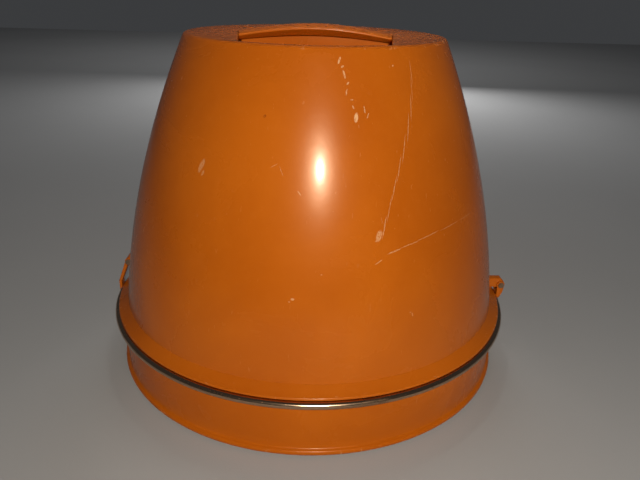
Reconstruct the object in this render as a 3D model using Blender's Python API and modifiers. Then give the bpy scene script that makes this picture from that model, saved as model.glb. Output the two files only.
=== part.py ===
"""Round food dehydrator: a shallow fan and heater base, four stacking trays and a tapered hood.

The hood is hinged to the base at +X and held shut by a lever latch at -X. +Z is up, the origin is
on the floor under the drum's axis, and -Y is the front. Sizes below are in millimetres.
"""
import math

import bmesh
import bpy
from mathutils import Matrix, Vector

MM = 0.001
GAP = 0.3
ROUND = 48
SMALL_ROUND = 16

# Drum and its trim ring
DRUM_R = 145.8
DRUM_WALL = 2.5
DRUM_BOTTOM = 1.0
BEAD_R = 148.3
BEAD_TOP = 5.4
RING_R = 152.5
RING_BOTTOM = 39.4
RING_TOP = 44.4
RING_SHEET = 0.9
DRUM_INNER_R = DRUM_R - DRUM_WALL

# Hood
HOOD_SEAT = RING_TOP + GAP
HOOD_FLANGE_R = 149.6
HOOD_FLANGE_EDGE = 2.2
HOOD_FOOT = 44.0
HOOD_FOOT_R = 143.0
HOOD_TAPER = (17.7, 35.7)
HOOD_WALL = 2.5
HOOD_TOP = 241.0
TOP_EDGE_ROUND = 3.2
FLARE_TOP = 51.6
FITTINGS_TOP = 82.0

# Recessed grip in the hood's top
WELL_R = 84.8
WELL_HALF = 53.5
WELL_BACK = 40.0
WELL_TAPER = 7.0 / 61.0
WELL_FLOOR = 217.0
WELL_WALL = 2.5
WELL_SLOTS = 7
STRAP_HALF = WELL_HALF - 0.4
STRAP_WIDTH = 32.0
STRAP_END = 240.4
STRAP_RISE = 5.4
STRAP_CROWN = 1.6
STRAP_SHEET = 2.8
LIP_OUT, LIP_IN, LIP_ROOT = 7.0, 5.0, 9.5
LIP_END = 236.4
LIP_RISE = 3.6
RIB_HALF = WELL_HALF - 2.4
WEB_SHEET = 5.0
GRIP_SCREW_X = 30.0

# Hinge at +X and latch at -X, both with pins along Y
PIN_R = 1.6
PIN_HOLE_R = 1.95
HINGE_X, HINGE_Z = 155.6, 50.6
KNUCKLE_HALF = 3.0
EAR_IN, EAR_OUT = 3.4, 5.0
LATCH_X, LATCH_Z = -145.0, 65.0
LEVER_HALF = 4.0
LATCH_EAR_IN, LATCH_EAR_OUT = 4.4, 6.0

# Deck, tower and bottom plate
DECK_TOP = 42.5
DECK_SHEET = 2.5
DECK_R = DRUM_INNER_R - GAP
TOWER_TOP = 48.5
TOWER_HOLE_R = 50.0
PLATE_BOTTOM = 3.2
PLATE_TOP = 5.2
BOSS_PLACE_R = 137.4
BOSS_R = 6.4
BOSS_AZIMUTHS = (-90.0, 30.0, 150.0)
FOOT_PLACE_R = 118.0
FOOT_AZIMUTHS = (45.0, 135.0, 225.0, 315.0)

# Trays
TRAY_COUNT = 4
TRAY_R = 104.0
TRAY_WALL = 2.4
TRAY_PITCH = 26.0
TRAY_FLOOR = 9.6
TRAY_FLOOR_SHEET = 2.0
TRAY_HUB_R = 14.0
TRAY_SLOTS = 12
TRAY_ROUND = 40
LEDGE_R = 97.0
LEDGE_SHEET = 1.7

# Motor, fan and heater
FAN_R = 46.0
FAN_BLADES = 5
SHAFT_R = 1.6
BORE_R = 1.95
STATOR_BOTTOM, STATOR_TOP = 8.1, 19.9
COIL_Y = 44.0
MOTOR_SCREW_X = 19.5

# Controls and mains inlet
DIAL_AZIMUTH = 55.0
DIAL_Z = 22.0
DIAL_R = 13.0
INLET_Z = 21.0

CASE = ("case_orange", (0.42, 0.085, 0.008), 0.32, 0.0)
BRIGHT = ("bright_trim", (0.62, 0.50, 0.36), 0.16, 1.0)
STEEL = ("steel", (0.55, 0.55, 0.56), 0.35, 1.0)
ZINC = ("zinc_screw", (0.62, 0.62, 0.60), 0.30, 1.0)
BLACK = ("black_plastic", (0.02, 0.02, 0.022), 0.45, 0.0)
CREAM = ("tray_plastic", (0.72, 0.62, 0.42), 0.40, 0.0)
RUBBER = ("rubber", (0.03, 0.03, 0.03), 0.80, 0.0)
COPPER = ("copper_winding", (0.60, 0.22, 0.08), 0.30, 1.0)
MICA = ("mica_board", (0.62, 0.55, 0.42), 0.60, 0.0)
BRONZE = ("bearing_bronze", (0.50, 0.33, 0.14), 0.40, 1.0)
WIRE = ("wire_sleeve", (0.55, 0.53, 0.48), 0.50, 0.0)


# ---------------------------------------------------------------- scene and helpers

def clear_scene():
    for thing in list(bpy.data.objects):
        bpy.data.objects.remove(thing)


def new_collection(name):
    collection = bpy.data.collections.new(name)
    bpy.context.scene.collection.children.link(collection)
    return collection


def surface(look):
    name, colour, roughness, metallic = look
    made = bpy.data.materials.get(name)
    if made is None:
        made = bpy.data.materials.new(name)
        made.use_nodes = True
        shader = made.node_tree.nodes["Principled BSDF"]
        shader.inputs["Base Color"].default_value = (*colour, 1.0)
        shader.inputs["Roughness"].default_value = roughness
        shader.inputs["Metallic"].default_value = metallic
    return made


def add(name, data, look, at=(0, 0, 0), turn=(0, 0, 0)):
    """Put mesh or curve data in the scene: place in millimetres, turn in degrees."""
    obj = bpy.data.objects.new(name, data)
    obj.location = Vector(at) * MM
    obj.rotation_euler = [math.radians(a) for a in turn]
    if look is None:
        obj.hide_render = True
        obj.display_type = "WIRE"
        CUTTERS.objects.link(obj)
    else:
        data.materials.append(surface(look))
        PARTS.objects.link(obj)
    return obj


def turned(name, outline, look, segments=ROUND, at=(0, 0, 0), turn=(0, 0, 0)):
    """Revolve (radius, height) points about the object's own Z, outer side from top to bottom."""
    mesh = bpy.data.meshes.new(name)
    points = [(r * MM, 0, z * MM) for r, z in outline]
    edges = [(i, i + 1) for i in range(len(points) - 1)]
    if outline[0][0] > 0:
        edges.append((len(points) - 1, 0))
    mesh.from_pydata(points, edges, [])
    obj = add(name, mesh, look, at, turn)
    screw = obj.modifiers.new("turn", "SCREW")
    screw.steps = screw.render_steps = segments
    screw.use_merge_vertices = True
    screw.merge_threshold = 0.00001
    return obj


def box(name, size, look, at=(0, 0, 0), turn=(0, 0, 0)):
    mesh = bpy.data.meshes.new(name)
    form = bmesh.new()
    bmesh.ops.create_cube(form, size=1.0)
    bmesh.ops.scale(form, vec=Vector(size) * MM, verts=form.verts)
    form.to_mesh(mesh)
    form.free()
    return add(name, mesh, look, at, turn)


def rod(name, radius, length, look, at=(0, 0, 0), turn=(0, 0, 0), segments=SMALL_ROUND):
    """A cylinder along its own Z, centred on its place."""
    mesh = bpy.data.meshes.new(name)
    form = bmesh.new()
    bmesh.ops.create_cone(form, cap_ends=True, segments=segments, depth=length * MM,
                          radius1=radius * MM, radius2=radius * MM)
    form.to_mesh(mesh)
    form.free()
    return add(name, mesh, look, at, turn)


def plate(name, outline, thickness, look, at=(0, 0, 0), turn=(0, 0, 0), holes=()):
    """A flat outline with round holes (x, y, radius), extruded evenly both ways along its own Z."""
    curve = bpy.data.curves.new(name, "CURVE")
    curve.dimensions = "2D"
    curve.fill_mode = "BOTH"
    curve.extrude = thickness * MM / 2
    for ring in [outline] + [circle(*hole) for hole in holes]:
        spline = curve.splines.new("POLY")
        spline.points.add(len(ring) - 1)
        for point, (x, y) in zip(spline.points, ring):
            point.co = (x * MM, y * MM, 0, 1)
        spline.use_cyclic_u = True
    return as_mesh(add(name, curve, look, at, turn))


def as_mesh(curve_object):
    """Swap a curve object for its mesh, with the caps welded on."""
    bpy.context.view_layer.update()
    evaluated = curve_object.evaluated_get(bpy.context.evaluated_depsgraph_get())
    mesh = bpy.data.meshes.new_from_object(evaluated)
    form = bmesh.new()
    form.from_mesh(mesh)
    bmesh.ops.remove_doubles(form, verts=form.verts, dist=0.00001)
    bmesh.ops.recalc_face_normals(form, faces=form.faces)
    form.to_mesh(mesh)
    form.free()
    name, place = curve_object.name, curve_object.matrix_world.copy()
    home = curve_object.users_collection[0]
    bpy.data.objects.remove(curve_object)
    obj = bpy.data.objects.new(name, mesh)
    obj.matrix_world = place
    home.objects.link(obj)
    if home is CUTTERS:
        obj.hide_render = True
        obj.display_type = "WIRE"
    return obj


def tube(name, points, radius, look):
    """A wire or bent rod through the points, with flat closed ends."""
    curve = bpy.data.curves.new(name, "CURVE")
    curve.dimensions = "3D"
    curve.bevel_depth = radius * MM
    curve.bevel_resolution = 2
    curve.use_fill_caps = True
    spline = curve.splines.new("POLY")
    spline.points.add(len(points) - 1)
    for point, place in zip(spline.points, points):
        point.co = (*(Vector(place) * MM), 1)
    return as_mesh(add(name, curve, look))


def combine(obj, tool, how):
    """UNION, DIFFERENCE or INTERSECT with a tool that leaves the model."""
    if tool.name not in CUTTERS.objects:
        PARTS.objects.unlink(tool)
        CUTTERS.objects.link(tool)
        tool.hide_render = True
        tool.display_type = "WIRE"
    step = obj.modifiers.new(f"{how.lower()}_{tool.name}", "BOOLEAN")
    step.operation = how
    step.object = tool
    return obj


def smooth(obj, degrees=35):
    obj.data.shade_smooth()
    obj.data.set_sharp_from_angle(angle=math.radians(degrees))
    return obj


def circle(x, y, radius, count=SMALL_ROUND):
    steps = [2 * math.pi * k / count for k in range(count)]
    return [(x + radius * math.cos(a), y + radius * math.sin(a)) for a in steps]


def arc(x, y, radius, start, end, count):
    """Points on an arc, angles in degrees."""
    steps = [math.radians(start + (end - start) * k / count) for k in range(count + 1)]
    return [(x + radius * math.cos(a), y + radius * math.sin(a)) for a in steps]


def around(azimuth, radius, height):
    angle = math.radians(azimuth)
    return (radius * math.cos(angle), radius * math.sin(angle), height)


def smooth_route(points, per_span=3):
    """A Catmull-Rom route through hand-placed points."""
    ends = [points[0]] + list(points) + [points[-1]]
    route = []
    for a, b, c, d in zip(ends, ends[1:], ends[2:], ends[3:]):
        a, b, c, d = Vector(a), Vector(b), Vector(c), Vector(d)
        for k in range(per_span):
            t = k / per_span
            route.append(0.5 * (2 * b + (c - a) * t + (2 * a - 5 * b + 4 * c - d) * t * t
                                + (3 * b - a - 3 * c + d) * t ** 3))
    return route + [Vector(points[-1])]


# ---------------------------------------------------------------- drum and base

def drum():
    flange = RING_R - RING_SHEET - 1.7
    outline = [(DRUM_INNER_R, RING_TOP - 1.1), (flange, RING_TOP - 1.1), (flange, RING_BOTTOM + 1.3),
               (DRUM_R, RING_BOTTOM + 1.3), (DRUM_R, BEAD_TOP), (BEAD_R - 0.7, BEAD_TOP - 1.2),
               (BEAD_R, BEAD_TOP - 2.4), (BEAD_R - 0.7, DRUM_BOTTOM), (DRUM_INNER_R + 0.8, DRUM_BOTTOM),
               (DRUM_INNER_R, 2.4), (DRUM_INNER_R, 35.0), (DRUM_INNER_R - 3.0, 38.0),
               (DRUM_INNER_R - 3.0, DECK_TOP - DECK_SHEET - GAP),
               (DRUM_INNER_R, DECK_TOP - DECK_SHEET - GAP)]
    shell = turned("base_shell", outline, CASE)
    bottom, top = PLATE_TOP + GAP, DECK_TOP - DECK_SHEET - GAP
    for number, azimuth in enumerate(BOSS_AZIMUTHS, 1):
        place = around(azimuth, BOSS_PLACE_R, (bottom + top) / 2)
        combine(shell, rod(f"boss_{number}", BOSS_R, top - bottom, None, place), "UNION")
        combine(shell, rod(f"boss_bore_{number}", PIN_HOLE_R, top, None, place), "DIFFERENCE")
    combine(shell, box("inlet_window", (24.6, 20, 14.6), None, (0, DRUM_R, INLET_Z)), "DIFFERENCE")
    dial_hole = rod("dial_hole", 3.6, 20, None, around(DIAL_AZIMUTH, DRUM_R, DIAL_Z),
                    (0, 90, DIAL_AZIMUTH))
    combine(shell, dial_hole, "DIFFERENCE")
    return shell


def trim_ring():
    """Bright rolled band: a half-round channel clipped over the drum's flange."""
    middle = (RING_TOP + RING_BOTTOM) / 2
    half = (RING_TOP - RING_BOTTOM) / 2
    crown = RING_R - half
    outer = [(r, z) for r, z in arc(crown, middle, half, 90, -90, 4)]
    inner = [(r, z) for r, z in arc(crown, middle, half - RING_SHEET, -90, 90, 3)]
    low_lip = [(DRUM_R + 0.8, RING_BOTTOM), (DRUM_R + 0.8, RING_BOTTOM + RING_SHEET)]
    high_lip = [(DRUM_R + 0.8, RING_TOP - RING_SHEET), (DRUM_R + 0.8, RING_TOP)]
    return turned("trim_ring", outer + low_lip + inner + high_lip, BRIGHT)


def deck():
    """Floor under the trays, with a low tower round the warm-air outlet."""
    under = DECK_TOP - DECK_SHEET
    outline = [(TOWER_HOLE_R, TOWER_TOP), (56.0, TOWER_TOP), (58.5, DECK_TOP), (DECK_R, DECK_TOP),
               (DECK_R, under), (52.4, under), (52.4, TOWER_TOP - 2.0), (TOWER_HOLE_R, TOWER_TOP - 2.0)]
    plate_part = turned("deck_plate", outline, CASE)
    for number, azimuth in enumerate(BOSS_AZIMUTHS, 1):
        hole = rod(f"deck_hole_{number}", PIN_HOLE_R, 10, None, around(azimuth, BOSS_PLACE_R, DECK_TOP))
        combine(plate_part, hole, "DIFFERENCE")
    return plate_part


def slot_fan(name, count, inner, outer, width, height, first=0.0):
    """Radial slots as one cutter."""
    mesh = bpy.data.meshes.new(name)
    form = bmesh.new()
    for k in range(count):
        made = bmesh.ops.create_cube(form, size=1.0)["verts"]
        bmesh.ops.scale(form, vec=Vector((outer - inner, width, height)) * MM, verts=made)
        bmesh.ops.translate(form, vec=Vector(((inner + outer) / 2, 0, 0)) * MM, verts=made)
        turn = Matrix.Rotation(math.radians(first + 360.0 * k / count), 3, "Z")
        bmesh.ops.rotate(form, cent=(0, 0, 0), matrix=turn, verts=made)
    form.to_mesh(mesh)
    form.free()
    return add(name, mesh, None)


def outlet_guard():
    low = TOWER_TOP + GAP
    guard = turned("outlet_guard", [(0, low + 1.6), (55.4, low + 1.6), (55.4, low), (0, low)], STEEL, 48)
    slots = slot_fan("guard_slots", 12, 12.0, 48.0, 3.4, 10.0)
    slots.location.z = (low + 1) * MM
    return combine(guard, slots, "DIFFERENCE")


def bottom_plate():
    outline = [(0, PLATE_TOP), (DECK_R, PLATE_TOP), (DECK_R, PLATE_BOTTOM), (0, PLATE_BOTTOM)]
    base = turned("bottom_plate", outline, BLACK)
    slots = slot_fan("intake_slots", 12, 27.0, 58.0, 3.6, 10.0, first=15.0)
    slots.location.z = PLATE_TOP * MM
    for side in (-1, 1):
        pad = rod(f"motor_pad_{side}", 4.6, 1.8, None, (side * MOTOR_SCREW_X, 0, PLATE_TOP + 0.2))
        combine(base, pad, "UNION")
    combine(base, slots, "DIFFERENCE")
    for side in (-1, 1):
        hole = rod(f"pad_hole_{side}", PIN_HOLE_R, 12, None, (side * MOTOR_SCREW_X, 0, PLATE_TOP))
        combine(base, hole, "DIFFERENCE")
    for number, azimuth in enumerate(BOSS_AZIMUTHS, 1):
        hole = rod(f"plate_hole_{number}", PIN_HOLE_R, 10, None,
                   around(azimuth, BOSS_PLACE_R, PLATE_TOP))
        combine(base, hole, "DIFFERENCE")
    return base


def feet():
    top = PLATE_BOTTOM - GAP
    outline = [(0, top), (8.0, top), (8.0, 0.8), (7.2, 0), (0, 0)]
    for number, azimuth in enumerate(FOOT_AZIMUTHS, 1):
        turned(f"foot_{number}", outline, RUBBER, 20, around(azimuth, FOOT_PLACE_R, 0))


def screw(name, at, length, turn=(0, 0, 0), head_r=3.2, segments=12):
    """A pan-head screw: the head's seat is at its origin and the shank runs down."""
    outline = [(0, 1.7), (head_r * 0.6, 1.7), (head_r, 0.7), (head_r, 0), (PIN_R, 0),
               (PIN_R, 0.8 - length), (0, -length)]
    return smooth(turned(name, outline, ZINC, segments, at, turn))


def case_screws():
    for number, azimuth in enumerate(BOSS_AZIMUTHS, 1):
        screw(f"plate_screw_{number}", around(azimuth, BOSS_PLACE_R, PLATE_BOTTOM - GAP), 14, (180, 0, 0))
        screw(f"deck_screw_{number}", around(azimuth, BOSS_PLACE_R, DECK_TOP + GAP), 12)


# ---------------------------------------------------------------- motor, fan and heater

def motor():
    height = STATOR_TOP - STATOR_BOTTOM
    centre = (STATOR_TOP + STATOR_BOTTOM) / 2
    frame = [(-24, -16), (24, -16), (24, 51), (-24, 51)]
    stator = plate("motor_stator", frame, height, STEEL, (0, 0, centre),
                   holes=[(0, 0, 10.2), (-MOTOR_SCREW_X, 0, PIN_HOLE_R), (MOTOR_SCREW_X, 0, PIN_HOLE_R)])
    combine(stator, box("coil_window", (32, 14, 30), None, (0, 29, centre)), "DIFFERENCE")
    coil = box("motor_coil", (27, 23.2, 17.2), COPPER, (0, COIL_Y, centre))
    bevel(coil, 2.0)
    combine(coil, box("coil_core", (60, 15.6, height + 0.8), None, (0, COIL_Y - 0.5, centre)), "DIFFERENCE")
    motor_brackets()
    rotor_r = 9.4
    rotor = [(rotor_r, STATOR_TOP - 0.4), (rotor_r, STATOR_BOTTOM + 1.2), (BORE_R, STATOR_BOTTOM + 1.2),
             (BORE_R, STATOR_TOP - 0.4)]
    turned("motor_rotor", rotor, STEEL, 24)
    rod("fan_shaft", SHAFT_R, 31.0, STEEL, (0, 0, 21.5))


def motor_brackets():
    """Two strips that carry the shaft's bearings, clamped to the stator by two long screws."""
    strip = [(-25, -6), (25, -6), (25, 6), (-25, 6)]
    holes = [(0, 0, 4.4), (-MOTOR_SCREW_X, 0, PIN_HOLE_R), (MOTOR_SCREW_X, 0, PIN_HOLE_R)]
    bush = [(4.1, 1.5), (4.1, -1.5), (BORE_R, -1.5), (BORE_R, 1.5)]
    for name, height, bearing_at in (("lower", 7.2, 7.4), ("upper", 20.8, 21.2)):
        plate(f"motor_bracket_{name}", strip, 1.1, STEEL, (0, 0, height), holes=holes)
        turned(f"bearing_{name}", bush, BRONZE, SMALL_ROUND, (0, 0, bearing_at))
    for number, side in ((1, -1), (2, 1)):
        screw(f"motor_screw_{number}", (side * MOTOR_SCREW_X, 0, 21.8), 18.0)


def bevel(obj, width, segments=2):
    edge = obj.modifiers.new("round_edges", "BEVEL")
    edge.width = width * MM
    edge.segments = segments
    return obj


def fan():
    """Axial impeller: a capped hub with raked blades."""
    hub = turned("fan_impeller", [(0, 37.4), (10.5, 37.4), (13.5, 35.0), (13.5, 25.0), (0, 25.0)], BLACK, 32)
    for k in range(FAN_BLADES):
        azimuth = 360.0 * k / FAN_BLADES
        blade = box(f"blade_{k + 1}", (FAN_R - 11.0, 21.0, 1.8), None,
                    around(azimuth, (FAN_R + 11.0) / 2, 31.0), (26, 0, azimuth))
        combine(hub, blade, "UNION")
    return combine(hub, rod("hub_bore", BORE_R, 24.0, None, (0, 0, 25.5)), "DIFFERENCE")


def fan_shroud():
    outline = [(52.0, DECK_TOP - DECK_SHEET - GAP), (52.0, 24.0), (50.6, 24.0),
               (50.6, DECK_TOP - DECK_SHEET - GAP)]
    return turned("fan_shroud", outline, STEEL, 48)


def heater():
    """A mica cross in the tower with a spiral sheathed element lying on it."""
    arm, half = 52.0, 3.5
    cross = [(-arm, -half), (-half, -half), (-half, -arm), (half, -arm), (half, -half), (arm, -half),
             (arm, half), (half, half), (half, arm), (-half, arm), (-half, half), (-arm, half)]
    plate("heater_frame", cross, 1.4, MICA, (0, 0, 41.0))
    sheath, turns, steps = 2.1, 1.9, 32
    points = []
    for k in range(steps + 1):
        part = k / steps
        points.append(around(25 + 360 * turns * part, 19 + 20 * part, 44.2))
    tube("heater_element", points, sheath, STEEL)


# ---------------------------------------------------------------- controls and wiring

def dial():
    inner = (0, 90, DIAL_AZIMUTH)
    body_at = around(DIAL_AZIMUTH, 127.0, DIAL_Z)
    bevel(box("thermostat_body", (14, 26, 20), BLACK, body_at, (0, 0, DIAL_AZIMUTH)), 1.0, 1)
    rod("thermostat_spindle", 2.9, 15.2, STEEL, around(DIAL_AZIMUTH, 142.0, DIAL_Z), inner)
    face, back = 5.8, 0.0
    outline = [(0, face), (DIAL_R - 2.4, face), (DIAL_R - 1.2, face - 0.8), (DIAL_R, back + 0.6),
               (DIAL_R, back), (3.3, back), (3.3, 3.6), (0, 3.6)]
    return turned("thermostat_knob", outline, BLACK, 32, around(DIAL_AZIMUTH, DRUM_R + 0.7, DIAL_Z), inner)


def inlet():
    """Two-pin mains socket let into the drum's rear wall."""
    depth = 22.0
    face = DRUM_R + 0.5
    socket = box("power_inlet", (24.0, depth, 14.0), BLACK, (0, face - depth / 2, INLET_Z))
    combine(socket, box("socket_recess", (19.0, 24.0, 9.0), None, (0, face, INLET_Z)), "DIFFERENCE")
    for number, side in ((1, -1), (2, 1)):
        rod(f"inlet_pin_{number}", 1.2, 9.0, ZINC, (side * 4.6, face - 12.3 + 4.8, INLET_Z), (90, 0, 0), 12)


def wiring():
    """Sleeved wires from the inlet to the dial, the heater and the motor's coil."""
    rear = DRUM_R + 0.5 - 22.0 - GAP
    tube("wire_live", smooth_route([(8, rear - 1.4, 21), (10, 112, 16), (30, 104, 10), (52, 98, 10),
                                    (66, 96, 16), around(DIAL_AZIMUTH, 118.2, 22)]), 1.1, WIRE)
    tube("wire_neutral", smooth_route([(-8, rear - 1.4, 21), (-14, 108, 14), (-24, 84, 9), (-22, 68, 9),
                                       (-10, 59.5, 13)]), 1.1, WIRE)
    tube("wire_heater", smooth_route([around(DIAL_AZIMUTH + 5, 118.0, 27), (56, 84, 30), (48, 62, 33),
                                      (46.5, 48, 36)]), 1.1, WIRE)
    rod("thermal_fuse", 2.2, 14.0, ZINC, (0, -62, 37.2), (0, 90, 0), 12)


# ---------------------------------------------------------------- trays

def tray(number):
    """A ring wall with a ledge near its foot, and the slotted screen that lies on the ledge."""
    height = TRAY_PITCH - GAP
    inner = TRAY_R - TRAY_WALL
    ledge = TRAY_FLOOR - GAP
    foot = DECK_TOP + GAP + TRAY_PITCH * (number - 1)
    ring = [(inner, height), (TRAY_R, height), (TRAY_R, 0), (inner, 0), (inner, ledge - LEDGE_SHEET),
            (LEDGE_R, ledge - LEDGE_SHEET), (LEDGE_R, ledge), (inner, ledge)]
    smooth(turned(f"tray_{number}", ring, CREAM, TRAY_ROUND, (0, 0, foot)))
    low, high = TRAY_FLOOR, TRAY_FLOOR + TRAY_FLOOR_SHEET
    disc = [(0, high), (inner - GAP, high), (inner - GAP, low), (0, low)]
    screen = turned(f"tray_screen_{number}", disc, CREAM, TRAY_ROUND, (0, 0, foot))
    slots = slot_fan(f"tray_slots_{number}", TRAY_SLOTS, TRAY_HUB_R, 94.0, 5.0, 12.0)
    slots.location.z = (foot + low) * MM
    smooth(combine(screen, slots, "DIFFERENCE"))


# ---------------------------------------------------------------- hood and grip

def hood_radius(height):
    rise = (height - HOOD_FOOT) / (HOOD_TOP - HOOD_FOOT)
    return HOOD_FOOT_R - HOOD_TAPER[0] * rise - HOOD_TAPER[1] * rise * rise


def hood_outline():
    """Top centre, rounded edge, tapered wall, flared foot, then back up the inside."""
    lean = math.atan2(hood_radius(HOOD_TOP - 3.0) - hood_radius(HOOD_TOP - 1.0), 2.0)
    low, high = FLARE_TOP, HOOD_TOP - TOP_EDGE_ROUND * (1 - math.sin(lean))
    edge = hood_radius(high)
    top = [(0, HOOD_TOP)] + arc(edge - TOP_EDGE_ROUND * math.cos(lean), HOOD_TOP - TOP_EDGE_ROUND, TOP_EDGE_ROUND,
                                90, math.degrees(lean), 3)
    outer = [(hood_radius(z), z) for z in spread(high, low, 9)[1:]]
    foot_top = HOOD_SEAT + HOOD_FLANGE_EDGE
    lip = [(HOOD_FLANGE_R - 0.8, foot_top), (HOOD_FLANGE_R, foot_top - 0.8), (HOOD_FLANGE_R, HOOD_SEAT + 0.5),
           (HOOD_FLANGE_R - 0.5, HOOD_SEAT)]
    ceiling = HOOD_TOP - HOOD_WALL
    inner = [(hood_radius(z) - HOOD_WALL, z) for z in spread(HOOD_SEAT, ceiling, 6)]
    return top + outer + lip + inner + [(0, ceiling)]


def spread(start, end, count):
    return [start + (end - start) * k / count for k in range(count + 1)]


def well_outline(grow=0.0):
    """Plan of the recess: widest at the strap, narrowing to the front, with a short straight back."""
    reach, back = 100.0, WELL_BACK + grow
    half = WELL_HALF + grow
    front_end, back_end = half - reach * WELL_TAPER, half - back * WELL_TAPER
    return [(-half, 0), (-front_end, -reach), (front_end, -reach), (half, 0), (back_end, back), (-back_end, back)]


def well_form(name, grow, low, high, look=None):
    """The recess as a solid between two heights, its front following the hood's round edge."""
    made = plate(name, well_outline(grow), high - low, look, (0, 0, (low + high) / 2))
    ends = rod(f"{name}_ends", WELL_R + grow, high - low + 10, None, (0, 0, (low + high) / 2), segments=ROUND)
    return combine(made, ends, "INTERSECT")


def hood():
    """Tapered shell, open below, with the mouth of the grip recess in its flat top."""
    shell = turned("hood_shell", hood_outline(), CASE)
    for piece in (hinge_knuckle(), latch_ear("front", -1), latch_ear("back", 1)):
        combine(shell, piece, "UNION")
    below = HOOD_SEAT - 3.0
    skin = [(hood_radius(z) - HOOD_WALL - 0.2, z) for z in spread(FITTINGS_TOP, below, 6)]
    combine(shell, turned("hood_inside", [(0, FITTINGS_TOP)] + skin + [(0, below)], None), "DIFFERENCE")
    combine(shell, well_form("grip_mouth", 0.0, WELL_FLOOR, HOOD_TOP + 20), "DIFFERENCE")
    for name, x, z in (("hinge_bore", HINGE_X, HINGE_Z), ("latch_bore", LATCH_X, LATCH_Z)):
        combine(shell, rod(name, PIN_HOLE_R, 60, None, (x, 0, z), (90, 0, 0)), "DIFFERENCE")
    return shell


def grip_well():
    """Cup under the grip: its rim meets the underside of the hood's top, and air leaves by its floor."""
    cup = well_form("grip_well", WELL_WALL, WELL_FLOOR - WELL_WALL, HOOD_TOP - HOOD_WALL - GAP, CASE)
    combine(cup, well_form("well", 0.0, WELL_FLOOR, HOOD_TOP + 20), "DIFFERENCE")
    for side in (-1, 1):
        hole = rod(f"grip_hole_{side}", PIN_HOLE_R, 12, None, (side * GRIP_SCREW_X, 0, WELL_FLOOR))
        combine(cup, hole, "DIFFERENCE")
    combine(cup, vent_cutter("front", -46.0, 34.0), "DIFFERENCE")
    combine(cup, vent_cutter("back", 22.0, 24.0), "DIFFERENCE")
    return cup


def vent_cutter(name, middle, length):
    """A row of air-outlet slots in the floor of one finger well."""
    mesh = bpy.data.meshes.new(f"vents_{name}")
    form = bmesh.new()
    pitch = 10.0
    for k in range(WELL_SLOTS):
        x = pitch * (k - (WELL_SLOTS - 1) / 2)
        made = bmesh.ops.create_cube(form, size=1.0)["verts"]
        bmesh.ops.scale(form, vec=Vector((4.0, length, 12.0)) * MM, verts=made)
        bmesh.ops.translate(form, vec=Vector((x, middle, WELL_FLOOR)) * MM, verts=made)
    form.to_mesh(mesh)
    form.free()
    return add(mesh.name, mesh, None)


def hinge_knuckle():
    """The hood's half of the hinge: a block that tapers outward from the wall."""
    outline = [(139.5, 47.6), (156.6, 47.6), (158.4, 49.4), (158.4, 52.4), (155.4, 55.6), (139.5, 55.6)]
    return plate("knuckle", outline, 2 * KNUCKLE_HALF, None, turn=(90, 0, 0))


def latch_ear(name, side):
    width = LATCH_EAR_OUT - LATCH_EAR_IN
    middle = side * (LATCH_EAR_OUT + LATCH_EAR_IN) / 2
    nose = arc(LATCH_X, LATCH_Z, 2.9, 100, 260, 6)
    outline = [(-138.6, 73.0)] + nose + [(-139.2, 58.5)]
    return plate(f"latch_ear_{name}", outline, width, None, (0, middle, 0), (90, 0, 0))


def loft(name, loops, look):
    """A solid through closed loops of equal length, closed at both ends."""
    mesh = bpy.data.meshes.new(name)
    form = bmesh.new()
    rings = [[form.verts.new(Vector(point) * MM) for point in loop] for loop in loops]
    for first, second in zip(rings, rings[1:]):
        for k in range(len(first)):
            form.faces.new((first[k - 1], first[k], second[k], second[k - 1]))
    ends = [form.faces.new(rings[0]), form.faces.new(rings[-1])]
    bmesh.ops.triangulate(form, faces=ends)
    bmesh.ops.recalc_face_normals(form, faces=form.faces)
    form.to_mesh(mesh)
    form.free()
    return add(name, mesh, look)


def strap_section(u):
    """Closed (y, z) section at a station along the strap: crowned top and two lips that lean in."""
    half = STRAP_WIDTH / 2
    lip = LIP_END + LIP_RISE * math.cos(u * math.pi / 2)
    top = [(y, strap_height(u, y / half)) for y in spread(half, -half, 6)]
    under = [(y, strap_height(u, y / half) - STRAP_SHEET) for y in spread(-LIP_ROOT, LIP_ROOT, 4)]
    return top + [(-LIP_OUT, lip), (-LIP_IN, lip)] + under + [(LIP_IN, lip), (LIP_OUT, lip)]


def carry_handle():
    """Arched, slightly crowned strap on a rib that stands on the floor of the recess."""
    loops = [[(u * (STRAP_HALF - abs(y) * WELL_TAPER), y, z) for y, z in strap_section(u)]
             for u in spread(-1, 1, 14)]
    strap = loft("carry_handle", loops, CASE)
    foot = WELL_FLOOR + GAP
    top = [(u * RIB_HALF, strap_height(u, 0) - STRAP_SHEET / 2)
           for u in (math.sin(math.radians(d)) for d in range(90, -91, -15))]
    rib = plate("rib", [(-RIB_HALF, foot), (RIB_HALF, foot)] + top, WEB_SHEET, None, turn=(90, 0, 0))
    combine(strap, rib, "UNION")
    for number, side in ((1, -1), (2, 1)):
        bore = rod(f"rib_bore_{number}", PIN_HOLE_R, 22.0, None, (side * GRIP_SCREW_X, 0, WELL_FLOOR))
        combine(strap, bore, "DIFFERENCE")
        screw(f"handle_screw_{number}", (side * GRIP_SCREW_X, 0, WELL_FLOOR - WELL_WALL - GAP), 12,
              (180, 0, 0))
    return strap


def strap_height(u, v):
    return STRAP_END + STRAP_RISE * math.cos(u * math.pi / 2) + STRAP_CROWN * (1 - v * v)


# ---------------------------------------------------------------- hinge and latch

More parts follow.
